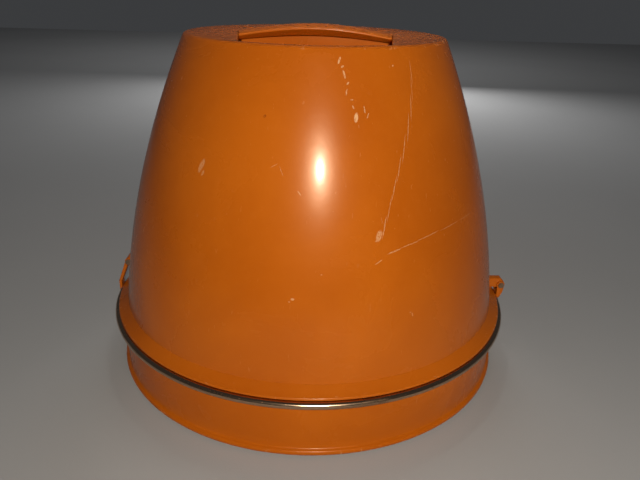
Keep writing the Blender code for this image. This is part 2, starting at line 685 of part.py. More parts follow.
def hinge():
    """Bracket on the drum with two ears that reach past the trim ring to the pin."""
    side_view = [(146.3, 13.0), (148.9, 13.0), (148.9, 33.0), (155.6, 39.4), (155.6, 44.6),
                 (153.2, 44.6), (153.2, 40.6), (146.3, 34.6)]
    bracket = plate("hinge_bracket", side_view, 2 * EAR_OUT, CASE, turn=(90, 0, 0))
    nose = arc(HINGE_X, HINGE_Z, 3.0, 0, 180, 8)
    ear = nose + [(153.2, 40.8), (155.6, 39.5), (157.6, 44.0)]
    for number, side in ((1, -1), (2, 1)):
        middle = side * (EAR_IN + EAR_OUT) / 2
        outline = plate(f"hinge_ear_{number}", ear, EAR_OUT - EAR_IN, None, (0, middle, 0), (90, 0, 0))
        combine(bracket, outline, "UNION")
    combine(bracket, rod("bracket_bore", PIN_HOLE_R, 60, None, (HINGE_X, 0, HINGE_Z), (90, 0, 0)),
            "DIFFERENCE")
    pin("hinge_pin", HINGE_X, HINGE_Z, EAR_OUT)
    return bracket


def pin(name, x, z, half):
    """A headed pin along Y, its head at the front."""
    outline = [(0, half + 1.2), (2.3, half + 1.2), (2.3, half + 0.4), (PIN_R, half + 0.4),
               (PIN_R, -half - 0.8), (0, -half - 0.8)]
    return turned(name, outline, ZINC, SMALL_ROUND, (x, 0, z), (90, 0, 0))


def latch():
    """Lever pivoted on the hood that springs over the trim ring."""
    nose = arc(0, 0, 2.8, 20, 160, 6)
    x, z = LATCH_X, LATCH_Z
    outline = nose + [(-154.9 - x, 46.9 - z), (-154.9 - x, 38.2 - z), (-154.3 - x, 37.6 - z),
                      (-153.4 - x, 37.6 - z), (-152.9 - x, 38.2 - z), (-152.9 - x, 46.2 - z),
                      (-146.0 - x, 62.4 - z)]
    lever = plate("latch_lever", outline, 2 * LEVER_HALF, CASE, (x, 0, z), (90, 0, 0),
                  holes=[(0, 0, PIN_HOLE_R)])
    pin("latch_pin", LATCH_X, LATCH_Z, LATCH_EAR_OUT)
    return lever


clear_scene()
PARTS = new_collection("food_dehydrator")
CUTTERS = new_collection("cutters")

for make in (drum, trim_ring, deck, outlet_guard, bottom_plate, fan, fan_shroud, hood, grip_well,
             carry_handle, hinge, latch, dial):
    smooth(make())
for make in (feet, case_screws, motor, heater, inlet, wiring):
    make()
for tray_number in range(1, TRAY_COUNT + 1):
    tray(tray_number)
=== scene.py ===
import math

import bmesh
import bpy
from mathutils import Matrix, Vector


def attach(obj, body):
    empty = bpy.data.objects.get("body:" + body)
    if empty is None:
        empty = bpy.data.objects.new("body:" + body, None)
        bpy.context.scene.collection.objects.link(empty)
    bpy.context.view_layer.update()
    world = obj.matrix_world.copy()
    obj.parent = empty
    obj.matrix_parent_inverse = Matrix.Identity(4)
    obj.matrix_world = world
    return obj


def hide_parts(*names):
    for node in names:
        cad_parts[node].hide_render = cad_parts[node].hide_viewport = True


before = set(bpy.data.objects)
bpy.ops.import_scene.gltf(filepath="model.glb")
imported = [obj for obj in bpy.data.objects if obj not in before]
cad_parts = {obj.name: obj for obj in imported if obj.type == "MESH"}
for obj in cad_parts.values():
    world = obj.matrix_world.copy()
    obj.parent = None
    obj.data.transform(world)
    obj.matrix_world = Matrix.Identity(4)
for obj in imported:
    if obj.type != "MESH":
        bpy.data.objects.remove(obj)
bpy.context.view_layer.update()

MM = 0.001
FINE = 192

# Sizes of the case in millimetres, as the CAD solids have them
DRUM_R = 145.8
DRUM_WALL = 2.5
BEAD_R = 148.3
RING_R = 152.5
RING_BOTTOM, RING_TOP = 39.4, 44.4
HOOD_SEAT = 44.7
HOOD_FLANGE_R = 149.6
HOOD_FOOT, HOOD_TOP = 44.0, 241.0
HOOD_FOOT_R = 143.0
HOOD_TAPER = (17.7, 35.7)
HOOD_WALL = 2.5
FLARE_TOP = 51.6
FITTINGS_TOP, INSIDE_FOOT = 82.0, 41.7
TOP_EDGE_ROUND = 3.2
WELL_R = 84.8
WELL_HALF = 53.5
WELL_BACK = 40.0
WELL_TAPER = 7.0 / 61.0
WELL_FLOOR = 217.0
WELL_WALL = 2.5
STRAP_WIDTH = 32.0
STRAP_END, STRAP_RISE, STRAP_CROWN = 240.4, 5.4, 1.6
LIP_END, LIP_RISE = 236.4, 3.6
LIP_OUT, LIP_IN, LIP_ROOT = 7.0, 5.0, 9.5
VENT_ROWS = ((-46.0, 34.0), (22.0, 24.0))
UNROLL_R = 120.0
STRAP_SHEET = 2.8
PIN_R = 1.6
PIN_HOLE_R = 1.95
GAP = 0.3
HINGE_X, HINGE_Z = 155.6, 50.6
LATCH_X, LATCH_Z = -145.0, 65.0
KNUCKLE_WIDTH, LEVER_WIDTH, BRACKET_WIDTH = 6.0, 8.0, 10.0
HINGE_EAR_Y, LATCH_EAR_Y, EAR_SHEET = 4.2, 5.2, 1.6
BOSS_PLACE_R = 137.4
BOSS_AZIMUTHS = (-90.0, 30.0, 150.0)
FOOT_PLACE_R = 118.0
FOOT_AZIMUTHS = (45.0, 135.0, 225.0, 315.0)
DECK_TOP, DECK_SHEET, DECK_R = 42.5, 2.5, 143.0
TOWER_TOP, TOWER_HOLE_R = 48.5, 50.0
PLATE_BOTTOM, PLATE_TOP = 3.2, 5.2
MOTOR_SCREW_X = 19.5
GRIP_SCREW_X = 30.0
TRAY_COUNT = 4
TRAY_R, TRAY_WALL, TRAY_PITCH = 104.0, 2.4, 26.0
TRAY_FLOOR, TRAY_FLOOR_SHEET = 9.6, 2.0
LEDGE_R, LEDGE_SHEET = 97.0, 1.7
DIAL_AZIMUTH, DIAL_Z, TICK_R = 55.0, 22.0, 15.2
INLET_Z = 21.0
FAN_R, FAN_BLADES = 46.0, 5


# ---------------------------------------------------------------- camera, floor and light

def link(name, data):
    made = bpy.data.objects.new(name, data)
    bpy.context.scene.collection.objects.link(made)
    return made


def camera():
    """The photograph's view: a hand-held camera in front, a little above the grip, slightly rolled."""
    yaw, pitch, roll = math.radians(0.94), math.radians(23.32), math.radians(1.63)
    forward = Vector((math.sin(yaw) * math.cos(pitch), math.cos(yaw) * math.cos(pitch), -math.sin(pitch)))
    level = forward.cross(Vector((0, 0, 1))).normalized()
    up = level.cross(forward)
    right = level * math.cos(roll) + up * math.sin(roll)
    top = up * math.cos(roll) - level * math.sin(roll)
    data = bpy.data.cameras.new("camera")
    data.lens = 33.75
    data.sensor_width = 36.0
    data.clip_start = 0.01
    made = link("camera", data)
    pose = Matrix((right, top, -forward)).transposed().to_4x4()
    pose.translation = Vector((0, -438.85, 274.1)) * MM
    made.matrix_world = pose
    bpy.context.scene.camera = made


def soft_light(name, at, target, size, power, colour=(1, 1, 1)):
    data = bpy.data.lights.new(name, "AREA")
    data.shape = "DISK"
    data.size = size
    data.energy = power
    data.color = colour
    made = link(name, data)
    made.location = at
    made.rotation_euler = (Vector(target) - Vector(at)).to_track_quat("-Z", "Y").to_euler()
    return made


def studio():
    world = bpy.data.worlds.new("studio")
    bpy.context.scene.world = world
    world.use_nodes = True
    backdrop = world.node_tree.nodes["Background"]
    backdrop.inputs["Color"].default_value = (0.86, 0.89, 0.94, 1)
    backdrop.inputs["Strength"].default_value = 0.05
    middle = (0, 0, 0.13)
    soft_light("key", (0.049, -0.629, 0.368), middle, 0.035, 3.2, (1.0, 0.93, 0.82))
    fill = soft_light("fill", (0.10, -1.00, 0.60), middle, 0.70, 0.35, (1.0, 0.95, 0.90))
    top = soft_light("top", (0, 0.06, 0.50), (0, 0, 0.24), 0.16, 0.045, (1.0, 0.94, 0.88))
    top.data.spread = math.radians(34)
    back = soft_light("back", (0, 1.60, 1.10), (0, 2.60, 0), 1.00, 5.0)
    rear = soft_light("rear", (0.10, 1.30, 0.42), middle, 0.80, 7.0)
    for light in (fill, top, back, rear):
        light.visible_camera = False
        light.visible_glossy = False
    bpy.context.scene.view_settings.view_transform = "Standard"


def floor():
    form = bmesh.new()
    bmesh.ops.create_grid(form, x_segments=1, y_segments=1, size=3.0)
    made = finish_mesh("floor", form, floor_material())
    return made


# ---------------------------------------------------------------- materials

class Shader:
    """One node material: a Principled shader and short calls for what feeds it."""

    def __init__(self, name, colour, roughness, metallic=0.0, **fixed):
        self.material = bpy.data.materials.new(name)
        self.material.use_nodes = True
        self.tree = self.material.node_tree
        self.shader = self.tree.nodes["Principled BSDF"]
        self.set("Base Color", (*colour, 1.0))
        self.set("Roughness", roughness)
        self.set("Metallic", metallic)
        for socket, value in fixed.items():
            self.set(socket.replace("_", " "), value)
        self.place = self.node("ShaderNodeTexCoord").outputs["Object"]

    def set(self, socket, value):
        self.shader.inputs[socket].default_value = value

    def node(self, kind, **settings):
        made = self.tree.nodes.new(kind)
        for key, value in settings.items():
            setattr(made, key, value)
        return made

    def feed(self, target, value):
        if isinstance(value, bpy.types.NodeSocket):
            self.tree.links.new(value, target)
        else:
            target.default_value = value

    def math(self, how, *values):
        made = self.node("ShaderNodeMath", operation=how)
        for target, value in zip(made.inputs, values):
            self.feed(target, value)
        return made.outputs[0]

    def times(self, value, part):
        return self.math("MULTIPLY", value, part)

    def axes(self):
        """The place on the piece as its three coordinates."""
        made = self.node("ShaderNodeSeparateXYZ")
        self.feed(made.inputs[0], self.place)
        return made.outputs

    def stretch(self, scale, turn=(0, 0, 0)):
        made = self.node("ShaderNodeMapping")
        self.feed(made.inputs["Vector"], self.place)
        made.inputs["Scale"].default_value = scale
        made.inputs["Rotation"].default_value = [math.radians(a) for a in turn]
        return made.outputs[0]

    def noise(self, scale, detail=3.0, rough=0.5, source=None, warp=0.0):
        made = self.node("ShaderNodeTexNoise")
        self.feed(made.inputs["Vector"], source or self.place)
        made.inputs["Scale"].default_value = scale
        made.inputs["Detail"].default_value = detail
        made.inputs["Roughness"].default_value = rough
        made.inputs["Distortion"].default_value = warp
        return made.outputs["Fac"]

    def span(self, value, low, high, to_low=0.0, to_high=1.0):
        made = self.node("ShaderNodeMapRange", interpolation_type="SMOOTHSTEP")
        self.feed(made.inputs["Value"], value)
        limits = {"From Min": low, "From Max": high, "To Min": to_low, "To Max": to_high}
        for socket, number in limits.items():
            made.inputs[socket].default_value = number
        return made.outputs["Result"]

    def mix(self, part, first, second):
        made = self.node("ShaderNodeMix", data_type="RGBA")
        self.feed(made.inputs["Factor"], part)
        for target, value in ((made.inputs[6], first), (made.inputs[7], second)):
            self.feed(target, (*value, 1.0) if isinstance(value, tuple) else value)
        return made.outputs[2]

    def bump(self, height, distance, strength=1.0, under=None):
        made = self.node("ShaderNodeBump")
        made.inputs["Strength"].default_value = strength
        made.inputs["Distance"].default_value = distance
        self.feed(made.inputs["Height"], height)
        if under is not None:
            self.feed(made.inputs["Normal"], under)
        return made.outputs["Normal"]

    def use(self, **sockets):
        for socket, value in sockets.items():
            self.feed(self.shader.inputs[socket.replace("_", " ")], value)
        return self.material

    def scratches(self, turn, length, fineness, rarity):
        """Thin straight scratches in one direction: 0 nearly everywhere, 1 on a scratch."""
        runs = self.stretch((1.0, 1.0, 1.0 / length), turn)
        lines = self.noise(fineness, 2.0, 0.6, runs, 0.3)
        gaps = self.noise(fineness / 9, 2.0, 0.5)
        line = self.span(lines, rarity, rarity + 0.025)
        return self.times(line, self.span(gaps, 0.5, 0.62))


def floor_material():
    s = Shader("floor_paper", (0.43, 0.43, 0.425), 0.85)
    tone = s.noise(3.0, 4.0)
    grain = s.noise(900.0, 2.0)
    s.use(Base_Color=s.mix(tone, (0.37, 0.37, 0.37), (0.42, 0.42, 0.42)), Normal=s.bump(grain, 0.0002, 0.3))
    return s.material


ORANGE = (0.500, 0.114, 0.0045)
ORANGE_DEEP = (0.440, 0.094, 0.0032)
ORANGE_PALE = (0.560, 0.170, 0.0300)
CHIP = (0.720, 0.400, 0.190)
BURN = (0.200, 0.030, 0.0030)


def case_orange(name, marks=(), wear_and_highlight_heights=(), coat=0.12, ior=1.38, burns=()):
    """Glossy moulded plastic with faint mottling, dulled patches, fine scratches and chipped marks.

    marks are chips and scratches on a turned case, burns are dark specks on it, and the wear heights give the
    levels of its rubbed edges; on the strap's ends these pale bands are partly a painted highlight."""
    s = Shader(name, ORANGE, 0.3, Coat_Weight=coat, Coat_Roughness=0.13, IOR=ior,
               Specular_Tint=(1.0, 0.72, 0.50, 1.0))
    cloud = s.span(s.noise(11.0, 4.0, 0.55, warp=0.4), 0.35, 0.70)
    speck = s.span(s.noise(260.0, 2.0, 0.6), 0.45, 0.75)
    colour = s.mix(cloud, ORANGE_DEEP, ORANGE)
    colour = s.mix(s.times(speck, 0.05), colour, ORANGE_PALE)
    if burns:
        colour = s.mix(worn_marks(s, burns), colour, BURN)
    haze = s.span(s.noise(16.0, 5.0, 0.6, warp=0.8), 0.52, 0.78)
    fine = s.scratches((0, 8, 20), 14.0, 620.0, 0.70)
    cross = s.scratches((70, 0, 35), 11.0, 540.0, 0.71)
    scuff = s.math("MAXIMUM", fine, cross)
    worn = s.times(scuff, 0.09)
    # Pale rubbed bands: wear, and on the strap's ends partly a painted highlight.
    if wear_and_highlight_heights:
        worn = s.math("MAXIMUM", worn, rubbed_edges_and_highlights(s, wear_and_highlight_heights))
    if marks:
        worn = s.math("MAXIMUM", worn, worn_marks(s, marks))
    rough = s.math("ADD", s.times(haze, 0.10), s.times(worn, 0.45))
    skin = s.bump(s.noise(75.0, 3.0, 0.5), 0.00035, 0.16)
    normal = s.bump(s.times(worn, -1.0), 0.00010, 0.8, skin)
    return s.use(Base_Color=s.mix(worn, colour, CHIP), Roughness=s.math("ADD", rough, 0.27), Normal=normal)


def rubbed_edges_and_highlights(s, heights):
    """Broken pale bands at given levels: wear where a rim or an edge gets knocked, and on the strap's
    ends partly a painted highlight.
    """
    level = s.axes()["Z"]
    total = None
    for height, reach, strength in heights:
        away = s.math("ABSOLUTE", s.math("SUBTRACT", level, height * MM))
        band = s.span(away, 0.2 * reach * MM, reach * MM, strength, 0.0)
        total = band if total is None else s.math("MAXIMUM", total, band)
    chips = s.span(s.noise(150.0, 4.0, 0.7, warp=0.5), 0.60, 0.68)
    return s.times(total, chips)


def worn_marks(s, marks):
    """Chips and scratches on a turned case, each an ellipse at (azimuth, height) with its size and turn."""
    x, y, z = s.axes()
    azimuth = s.math("ARCTAN2", x, s.times(y, -1.0))
    unrolled = s.node("ShaderNodeCombineXYZ")
    s.feed(unrolled.inputs["X"], s.times(azimuth, UNROLL_R * MM))
    s.feed(unrolled.inputs["Y"], z)
    ragged = s.node("ShaderNodeTexNoise", noise_dimensions="3D")
    s.feed(ragged.inputs["Vector"], s.place)
    ragged.inputs["Scale"].default_value = 520.0
    shift = s.node("ShaderNodeVectorMath", operation="MULTIPLY_ADD")
    s.feed(shift.inputs[0], ragged.outputs["Color"])
    shift.inputs[1].default_value = (0.0007, 0.0007, 0)
    s.feed(shift.inputs[2], unrolled.outputs[0])
    total = None
    for degrees, height, length, width, turn, strength in marks:
        spot = s.node("ShaderNodeMapping", vector_type="TEXTURE")
        s.feed(spot.inputs["Vector"], shift.outputs[0])
        spot.inputs["Location"].default_value = (math.radians(degrees) * UNROLL_R * MM, height * MM, 0)
        spot.inputs["Rotation"].default_value = (0, 0, math.radians(turn))
        spot.inputs["Scale"].default_value = (length * MM / 2, width * MM / 2, 1)
        reach = s.node("ShaderNodeVectorMath", operation="LENGTH")
        s.feed(reach.inputs[0], spot.outputs[0])
        mark = s.span(reach.outputs["Value"], 0.75, 1.15, strength, 0.0)
        total = mark if total is None else s.math("MAXIMUM", total, mark)
    breaks = s.span(s.noise(900.0, 2.0, 0.6), 0.36, 0.52, 0.35, 1.0)
    return s.times(total, breaks)


def bright_metal():
    """Rolled trim: bright plating with fine lines along its run and a few dull spots. Its warm, darkened
    colour is a painted reflection of the orange case and the dark surroundings.
    """
    s = Shader("trim_metal", (0.54, 0.36, 0.23), 0.2, 1.0)
    x, y, z = s.axes()
    rolled = s.node("ShaderNodeCombineXYZ")
    azimuth = s.math("ARCTAN2", x, y)
    s.feed(rolled.inputs["X"], s.times(azimuth, 0.15))
    s.feed(rolled.inputs["Y"], s.times(z, 60.0))
    lines = s.noise(45.0, 3.0, 0.7, rolled.outputs[0])
    tarnish = s.span(s.noise(38.0, 5.0, 0.65, warp=0.6), 0.50, 0.72)
    pits = s.span(s.noise(700.0, 2.0, 0.5), 0.64, 0.72)
    dull = s.math("MAXIMUM", s.times(tarnish, 0.6), pits)
    # Warm brown plating colour: a painted reflection of the orange case and dark room; the darker mix is
    # tarnish.
    colour = s.mix(dull, (0.54, 0.36, 0.23), (0.20, 0.10, 0.05))
    rough = s.math("ADD", s.span(lines, 0.3, 0.7, 0.12, 0.25), s.times(dull, 0.22))
    return s.use(Base_Color=colour, Roughness=rough, Normal=s.bump(lines, 0.00004, 0.5))


def plain_metal(name, colour, roughness, grain=240.0):
    """Sheet or plated steel with a faint grain and dark handling stains."""
    s = Shader(name, colour, roughness, 1.0)
    lines = s.noise(grain, 3.0, 0.6, s.stretch((1.0, 1.0, 0.06)))
    stain = s.span(s.noise(55.0, 4.0, 0.6), 0.52, 0.78)
    darker = tuple(0.55 * c for c in colour)
    brushed = s.span(lines, 0.3, 0.7, roughness - 0.08, roughness + 0.10)
    rough = s.math("ADD", brushed, s.times(stain, 0.15))
    return s.use(Base_Color=s.mix(s.times(stain, 0.7), colour, darker), Roughness=rough,
                 Normal=s.bump(lines, 0.00005, 0.35))


def moulded(name, colour, roughness, grain=1400.0, wear=(0.10, 0.10, 0.10)):
    """Satin or matt plastic or rubber: fine spark-eroded grain, dust and slight rubbing."""
    s = Shader(name, colour, roughness)
    texture = s.noise(grain, 2.0, 0.5)
    dust = s.span(s.noise(34.0, 5.0, 0.6, warp=0.5), 0.50, 0.80)
    worn = tuple(min(1.0, c + w) for c, w in zip(colour, wear))
    rough = s.math("ADD", s.times(dust, 0.14), roughness - 0.04)
    return s.use(Base_Color=s.mix(s.times(dust, 0.45), colour, worn), Roughness=rough,
                 Normal=s.bump(texture, 0.00006, 0.5))


def copper_wire():
    s = Shader("copper_turns", (0.60, 0.22, 0.08), 0.3, 1.0, Coat_Weight=0.5, Coat_Roughness=0.1)
    turns = s.node("ShaderNodeTexWave", wave_type="BANDS", bands_direction="X")
    s.feed(turns.inputs["Vector"], s.place)
    turns.inputs["Scale"].default_value = 420.0
    turns.inputs["Distortion"].default_value = 0.4
    # Darker copper in the grooves between the turns is painted shade.
    dark = s.span(turns.outputs["Fac"], 0.0, 0.5)
    return s.use(Base_Color=s.mix(dark, (0.22, 0.06, 0.02), (0.66, 0.27, 0.11)),
                 Normal=s.bump(turns.outputs["Fac"], 0.0003, 0.8))


def mica():
    s = Shader("mica_sheet", (0.62, 0.55, 0.42), 0.5)
    flakes = s.node("ShaderNodeTexVoronoi")
    s.feed(flakes.inputs["Vector"], s.stretch((1, 1, 3)))
    flakes.inputs["Scale"].default_value = 320.0
    fleck = s.span(flakes.outputs["Distance"], 0.1, 0.7)
    return s.use(Base_Color=s.mix(fleck, (0.74, 0.68, 0.55), (0.42, 0.34, 0.22)),
                 Roughness=s.span(fleck, 0, 1, 0.35, 0.65), Normal=s.bump(fleck, 0.0001, 0.5))


# ---------------------------------------------------------------- mesh helpers

def finish_mesh(name, form, material, sharp=32.0):
    """A bmesh in metres becomes a linked object, smooth but for its sharp edges."""
    bmesh.ops.remove_doubles(form, verts=form.verts, dist=1e-6)
    bmesh.ops.recalc_face_normals(form, faces=form.faces)
    mesh = bpy.data.meshes.new(name)
    form.to_mesh(mesh)
    form.free()
    if material is not None:
        mesh.materials.append(material)
    mesh.shade_smooth()
    mesh.set_sharp_from_angle(angle=math.radians(sharp))
    return link(name, mesh)


def turned_form(outline, segments=FINE):
    """Faces of a closed (radius, height) outline in millimetres, revolved about Z."""
    form = bmesh.new()
    rings = []
    for radius, height in outline:
        if radius < 1e-6:
            rings.append([form.verts.new((0, 0, height * MM))] * segments)
            continue
        steps = [2 * math.pi * k / segments for k in range(segments)]
        rings.append([form.verts.new((radius * MM * math.cos(a), radius * MM * math.sin(a), height * MM))
                      for a in steps])
    spans = list(zip(rings, rings[1:]))
    if outline[0][0] > 1e-6:
        spans.append((rings[-1], rings[0]))
    for above, below in spans:
        for k in range(segments):
            n = (k + 1) % segments
            corners = []
            for vert in (above[k], below[k], below[n], above[n]):
                if vert not in corners:
                    corners.append(vert)
            if len(corners) > 2:
                form.faces.new(corners)
    return form


def turned(name, outline, material, segments=FINE, sharp=32.0, frame_in=None):
    form = turned_form(outline, segments)
    if frame_in is not None:
        bmesh.ops.transform(form, matrix=frame_in, verts=form.verts)
    return finish_mesh(name, form, material, sharp)


def loft_form(loops):
    """A closed skin through loops of equal point counts (millimetres), with flat ends."""
    form = bmesh.new()
    rings = [[form.verts.new(Vector(p) * MM) for p in loop] for loop in loops]
    for above, below in zip(rings, rings[1:]):
        for k in range(len(above)):
            n = (k + 1) % len(above)
            form.faces.new((above[k], below[k], below[n], above[n]))
    ends = [form.faces.new(rings[0]), form.faces.new(list(reversed(rings[-1])))]
    bmesh.ops.triangulate(form, faces=ends)
    return form


def inset(loop, distance):
    """A plane (x, y) loop, anticlockwise, moved inward by a distance with mitred corners."""
    moved = []
    for before, here, after in zip([loop[-1]] + loop[:-1], loop, loop[1:] + [loop[0]]):
        a, b = Vector(here) - Vector(before), Vector(after) - Vector(here)
        na, nb = Vector((-a.y, a.x)).normalized(), Vector((-b.y, b.x)).normalized()
        push = (na + nb) / max(0.35, 1 + na.dot(nb))
        moved.append(tuple(Vector(here) + push * distance))
    return moved


def slab_form(outline, thickness, soft):
    """A flat (x, y) outline as a slab along Z with softened edges on both faces."""
    upper = [(thickness / 2 - soft * (1 - math.sin(a)), soft * (1 - math.cos(a)))
             for a in map(math.radians, (90, 60, 30, 0))]
    levels = upper + [(-z, inward) for z, inward in reversed(upper)]
    return loft_form([[(x, y, z) for x, y in inset(outline, inward)] for z, inward in levels])


def side_slab(name, outline, y_middle, thickness, material, soft):
    """A slab whose outline is drawn in the XZ plane and which is thick along Y."""
    form = slab_form(outline, thickness, soft)
    stand = Matrix.Translation(Vector((0, y_middle, 0)) * MM) @ Matrix.Rotation(math.radians(90), 4, "X")
    bmesh.ops.transform(form, matrix=stand, verts=form.verts)
    return finish_mesh(name, form, material)


def rod(name, radius, length, at, turn=(0, 0, 0)):
    form = bmesh.new()
    bmesh.ops.create_cone(form, cap_ends=True, segments=32, depth=length * MM,
                          radius1=radius * MM, radius2=radius * MM)
    place_form(form, at, turn)
    return finish_mesh(name, form, None)


def block(name, size, at, turn=(0, 0, 0), soft=0.0, material=None, steps=3):
    form = bmesh.new()
    bmesh.ops.create_cube(form, size=1.0)
    bmesh.ops.scale(form, vec=Vector(size) * MM, verts=form.verts)
    if soft:
        bmesh.ops.bevel(form, geom=form.edges, offset=soft * MM, segments=steps, profile=0.5, affect="EDGES")
    place_form(form, at, turn)
    return finish_mesh(name, form, material)


def place_form(form, at, turn=(0, 0, 0)):
    spin = Matrix.Identity(4)
    for axis, angle in zip("XYZ", turn):
        spin = Matrix.Rotation(math.radians(angle), 4, axis) @ spin
    bmesh.ops.transform(form, matrix=Matrix.Translation(Vector(at) * MM) @ spin, verts=form.verts)


def combine(made, tools, how, sharp=32.0):
    """Boolean tools into or out of a piece; the tools are used up."""
    for tool in tools:
        step = made.modifiers.new(how, "BOOLEAN")
        step.operation = how
        step.object = tool
    depsgraph = bpy.context.evaluated_depsgraph_get()
    mesh = bpy.data.meshes.new_from_object(made.evaluated_get(depsgraph))
    made.modifiers.clear()
    old = made.data
    made.data = mesh
    mesh.name = made.name
    bpy.data.meshes.remove(old)
    for tool in tools:
        bpy.data.objects.remove(tool)
    mesh.shade_smooth()
    mesh.set_sharp_from_angle(angle=math.radians(sharp))
    return made


def around(azimuth, radius, height):
    angle = math.radians(azimuth)
    return (radius * math.cos(angle), radius * math.sin(angle), height)


def put(piece, body, slot, *nodes):
    """The piece rides on a body and stands for CAD nodes, which it hides; slot is not used."""
    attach(piece, body)
    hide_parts(*nodes)
    return piece


def arc(x, y, radius, start, end, count):
    steps = [math.radians(start + (end - start) * k / count) for k in range(count + 1)]
    return [(x + radius * math.cos(a), y + radius * math.sin(a)) for a in steps]


def spread(start, end, count):
    return [start + (end - start) * k / count for k in range(count + 1)]


# ---------------------------------------------------------------- hood

def hood_radius(height):
    rise = (height - HOOD_FOOT) / (HOOD_TOP - HOOD_FOOT)
    return HOOD_FOOT_R - HOOD_TAPER[0] * rise - HOOD_TAPER[1] * rise * rise


ZONE_AZIMUTHS = (-90.0, -45.0, 0.0, 14.5, 24.5, 60.0)
ZONE_HEIGHTS = (149.0, 212.0)
HOOD_WORN = ((240.2, 1.5, 0.38), (46.6, 0.9, 0.30))


def hood_outline():
    lean = math.atan2(hood_radius(HOOD_TOP - 3.0) - hood_radius(HOOD_TOP - 1.0), 2.0)
    low, high = FLARE_TOP, HOOD_TOP - TOP_EDGE_ROUND * (1 - math.sin(lean))
    edge = hood_radius(high)
    top = [(0, HOOD_TOP)] + arc(edge - TOP_EDGE_ROUND * math.cos(lean), HOOD_TOP - TOP_EDGE_ROUND,
                                TOP_EDGE_ROUND, 90, math.degrees(lean), 10)
    outer = [(hood_radius(z), z) for z in spread(high, low, 48)[1:]]
    crease = hood_radius(low)
    lip = 1.0
    foot_top = HOOD_SEAT + 2.2
    flare = HOOD_FLANGE_R - lip - crease
    slope = [(crease + flare * part, low - (low - foot_top) * part) for part in (0.3, 0.6, 0.93)]
    rim = arc(HOOD_FLANGE_R - lip, foot_top - lip, lip, 90, 0, 4)[1:] + [(HOOD_FLANGE_R, HOOD_SEAT + 0.5),
                                                                        (HOOD_FLANGE_R - 0.5, HOOD_SEAT)]
    ceiling = HOOD_TOP - HOOD_WALL
    inner = [(hood_radius(z) - HOOD_WALL, z) for z in spread(HOOD_SEAT, ceiling, 24)]
    return top + outer + slope + rim + inner + [(0, ceiling)]


def well_loop(grow):
    """Plan of the grip recess, anticlockwise: tapered sides, round front and a short straight back."""
    radius = WELL_R + grow
    half = WELL_HALF + grow
    low, high = 0.0, radius
    for _ in range(40):
        y = (low + high) / 2
        x = half - y * WELL_TAPER
        low, high = (low, y) if x * x + y * y > radius * radius else (y, high)
    start = math.degrees(math.atan2(low, half - low * WELL_TAPER))
    front = arc(0, 0, radius, 180 + start, 360 - start, 28)
    back = WELL_BACK + grow
    side, bend = half - back * WELL_TAPER, 3.0
    right = arc(side - bend, back - bend, bend, 0, 90, 4)
    left = arc(bend - side, back - bend, bend, 90, 180, 4)
    return [(half, 0)] + right + left + [(-half, 0)] + front


def well_form(levels):
    """The recess as a solid: a loop at each (growth, height)."""
    return loft_form([[(x, y, z) for x, y in well_loop(grow)] for grow, z in levels])


HOOD_MARKS = [
    (8.6, 234.2, 4.2, 1.5, 60, 0.85), (9.6, 231.0, 2.4, 1.0, 20, 0.75),
    (10.1, 227.0, 4.6, 1.3, 110, 0.80), (11.2, 222.4, 2.2, 0.9, 35, 0.70),
    (10.6, 217.8, 3.6, 1.0, 75, 0.60), (12.2, 214.0, 1.8, 0.8, 0, 0.65),
    (13.3, 204.6, 5.2, 2.7, 75, 0.95), (12.6, 210.0, 2.0, 0.8, 120, 0.60),
    (16.2, 208.6, 4.0, 0.7, 100, 0.80), (17.2, 205.4, 3.2, 0.6, 62, 0.75),
    (28.6, 231.0, 1.5, 1.1, 0, 0.70), (36.2, 227.0, 13.0, 0.55, 84, 0.45),
    (35.0, 218.0, 14.0, 0.55, 80, 0.40), (33.3, 208.0, 15.0, 0.6, 77, 0.45),
    (31.0, 197.5, 16.0, 0.6, 75, 0.50), (28.4, 186.5, 16.0, 0.6, 73, 0.50),
    (26.0, 176.0, 15.0, 0.6, 72, 0.45), (23.8, 165.5, 15.0, 0.6, 71, 0.45),
    (21.8, 154.5, 15.0, 0.6, 74, 0.40), (20.0, 144.5, 13.0, 0.7, 76, 0.50),
    (18.4, 140.3, 6.5, 3.4, 70, 0.55), (17.9, 137.6, 3.0, 1.6, 20, 0.45),
    (22.6, 130.2, 9.0, 0.7, 14, 0.55), (27.5, 132.6, 13.0, 0.6, 10, 0.40),
    (34.0, 135.2, 16.0, 0.6, 9, 0.40), (43.0, 137.0, 18.0, 0.5, 5, 0.30),
    (52.0, 138.0, 16.0, 0.5, 2, 0.28), (18.0, 125.2, 5.0, 0.7, 30, 0.45),
    (-34.1, 172.8, 8.5, 3.2, 70, 0.42), (-33.2, 169.0, 3.5, 1.8, 60, 0.35),
    (-10.7, 178.6, 5.0, 0.5, 30, 0.25), (-8.6, 176.0, 6.0, 0.5, 118, 0.22),
    (-3.3, 164.8, 3.0, 0.8, 130, 0.45), (-4.1, 105.2, 1.9, 1.3, 0, 0.65),
    (-4.9, 103.5, 1.1, 0.8, 0, 0.50), (27.4, 89.8, 2.4, 0.8, 100, 0.60), (26.8, 91.4, 1.2, 0.7, 20, 0.45),
    (3.0, 120.0, 1.0, 0.8, 0, 0.35), (45.0, 176.0, 1.6, 0.6, 80, 0.35),
    (-58.0, 120.0, 5.0, 0.8, 70, 0.35), (-75.0, 90.0, 9.0, 0.6, 20, 0.30),
    (150.0, 140.0, 12.0, 0.7, 60, 0.40), (-140.0, 110.0, 16.0, 0.6, 12, 0.35),
    (178.0, 200.0, 4.0, 1.4, 40, 0.50), (120.0, 80.0, 6.0, 0.8, 150, 0.45),
    (-110.0, 190.0, 14.0, 0.6, 78, 0.35), (95.0, 170.0, 10.0, 0.6, 100, 0.35),
]


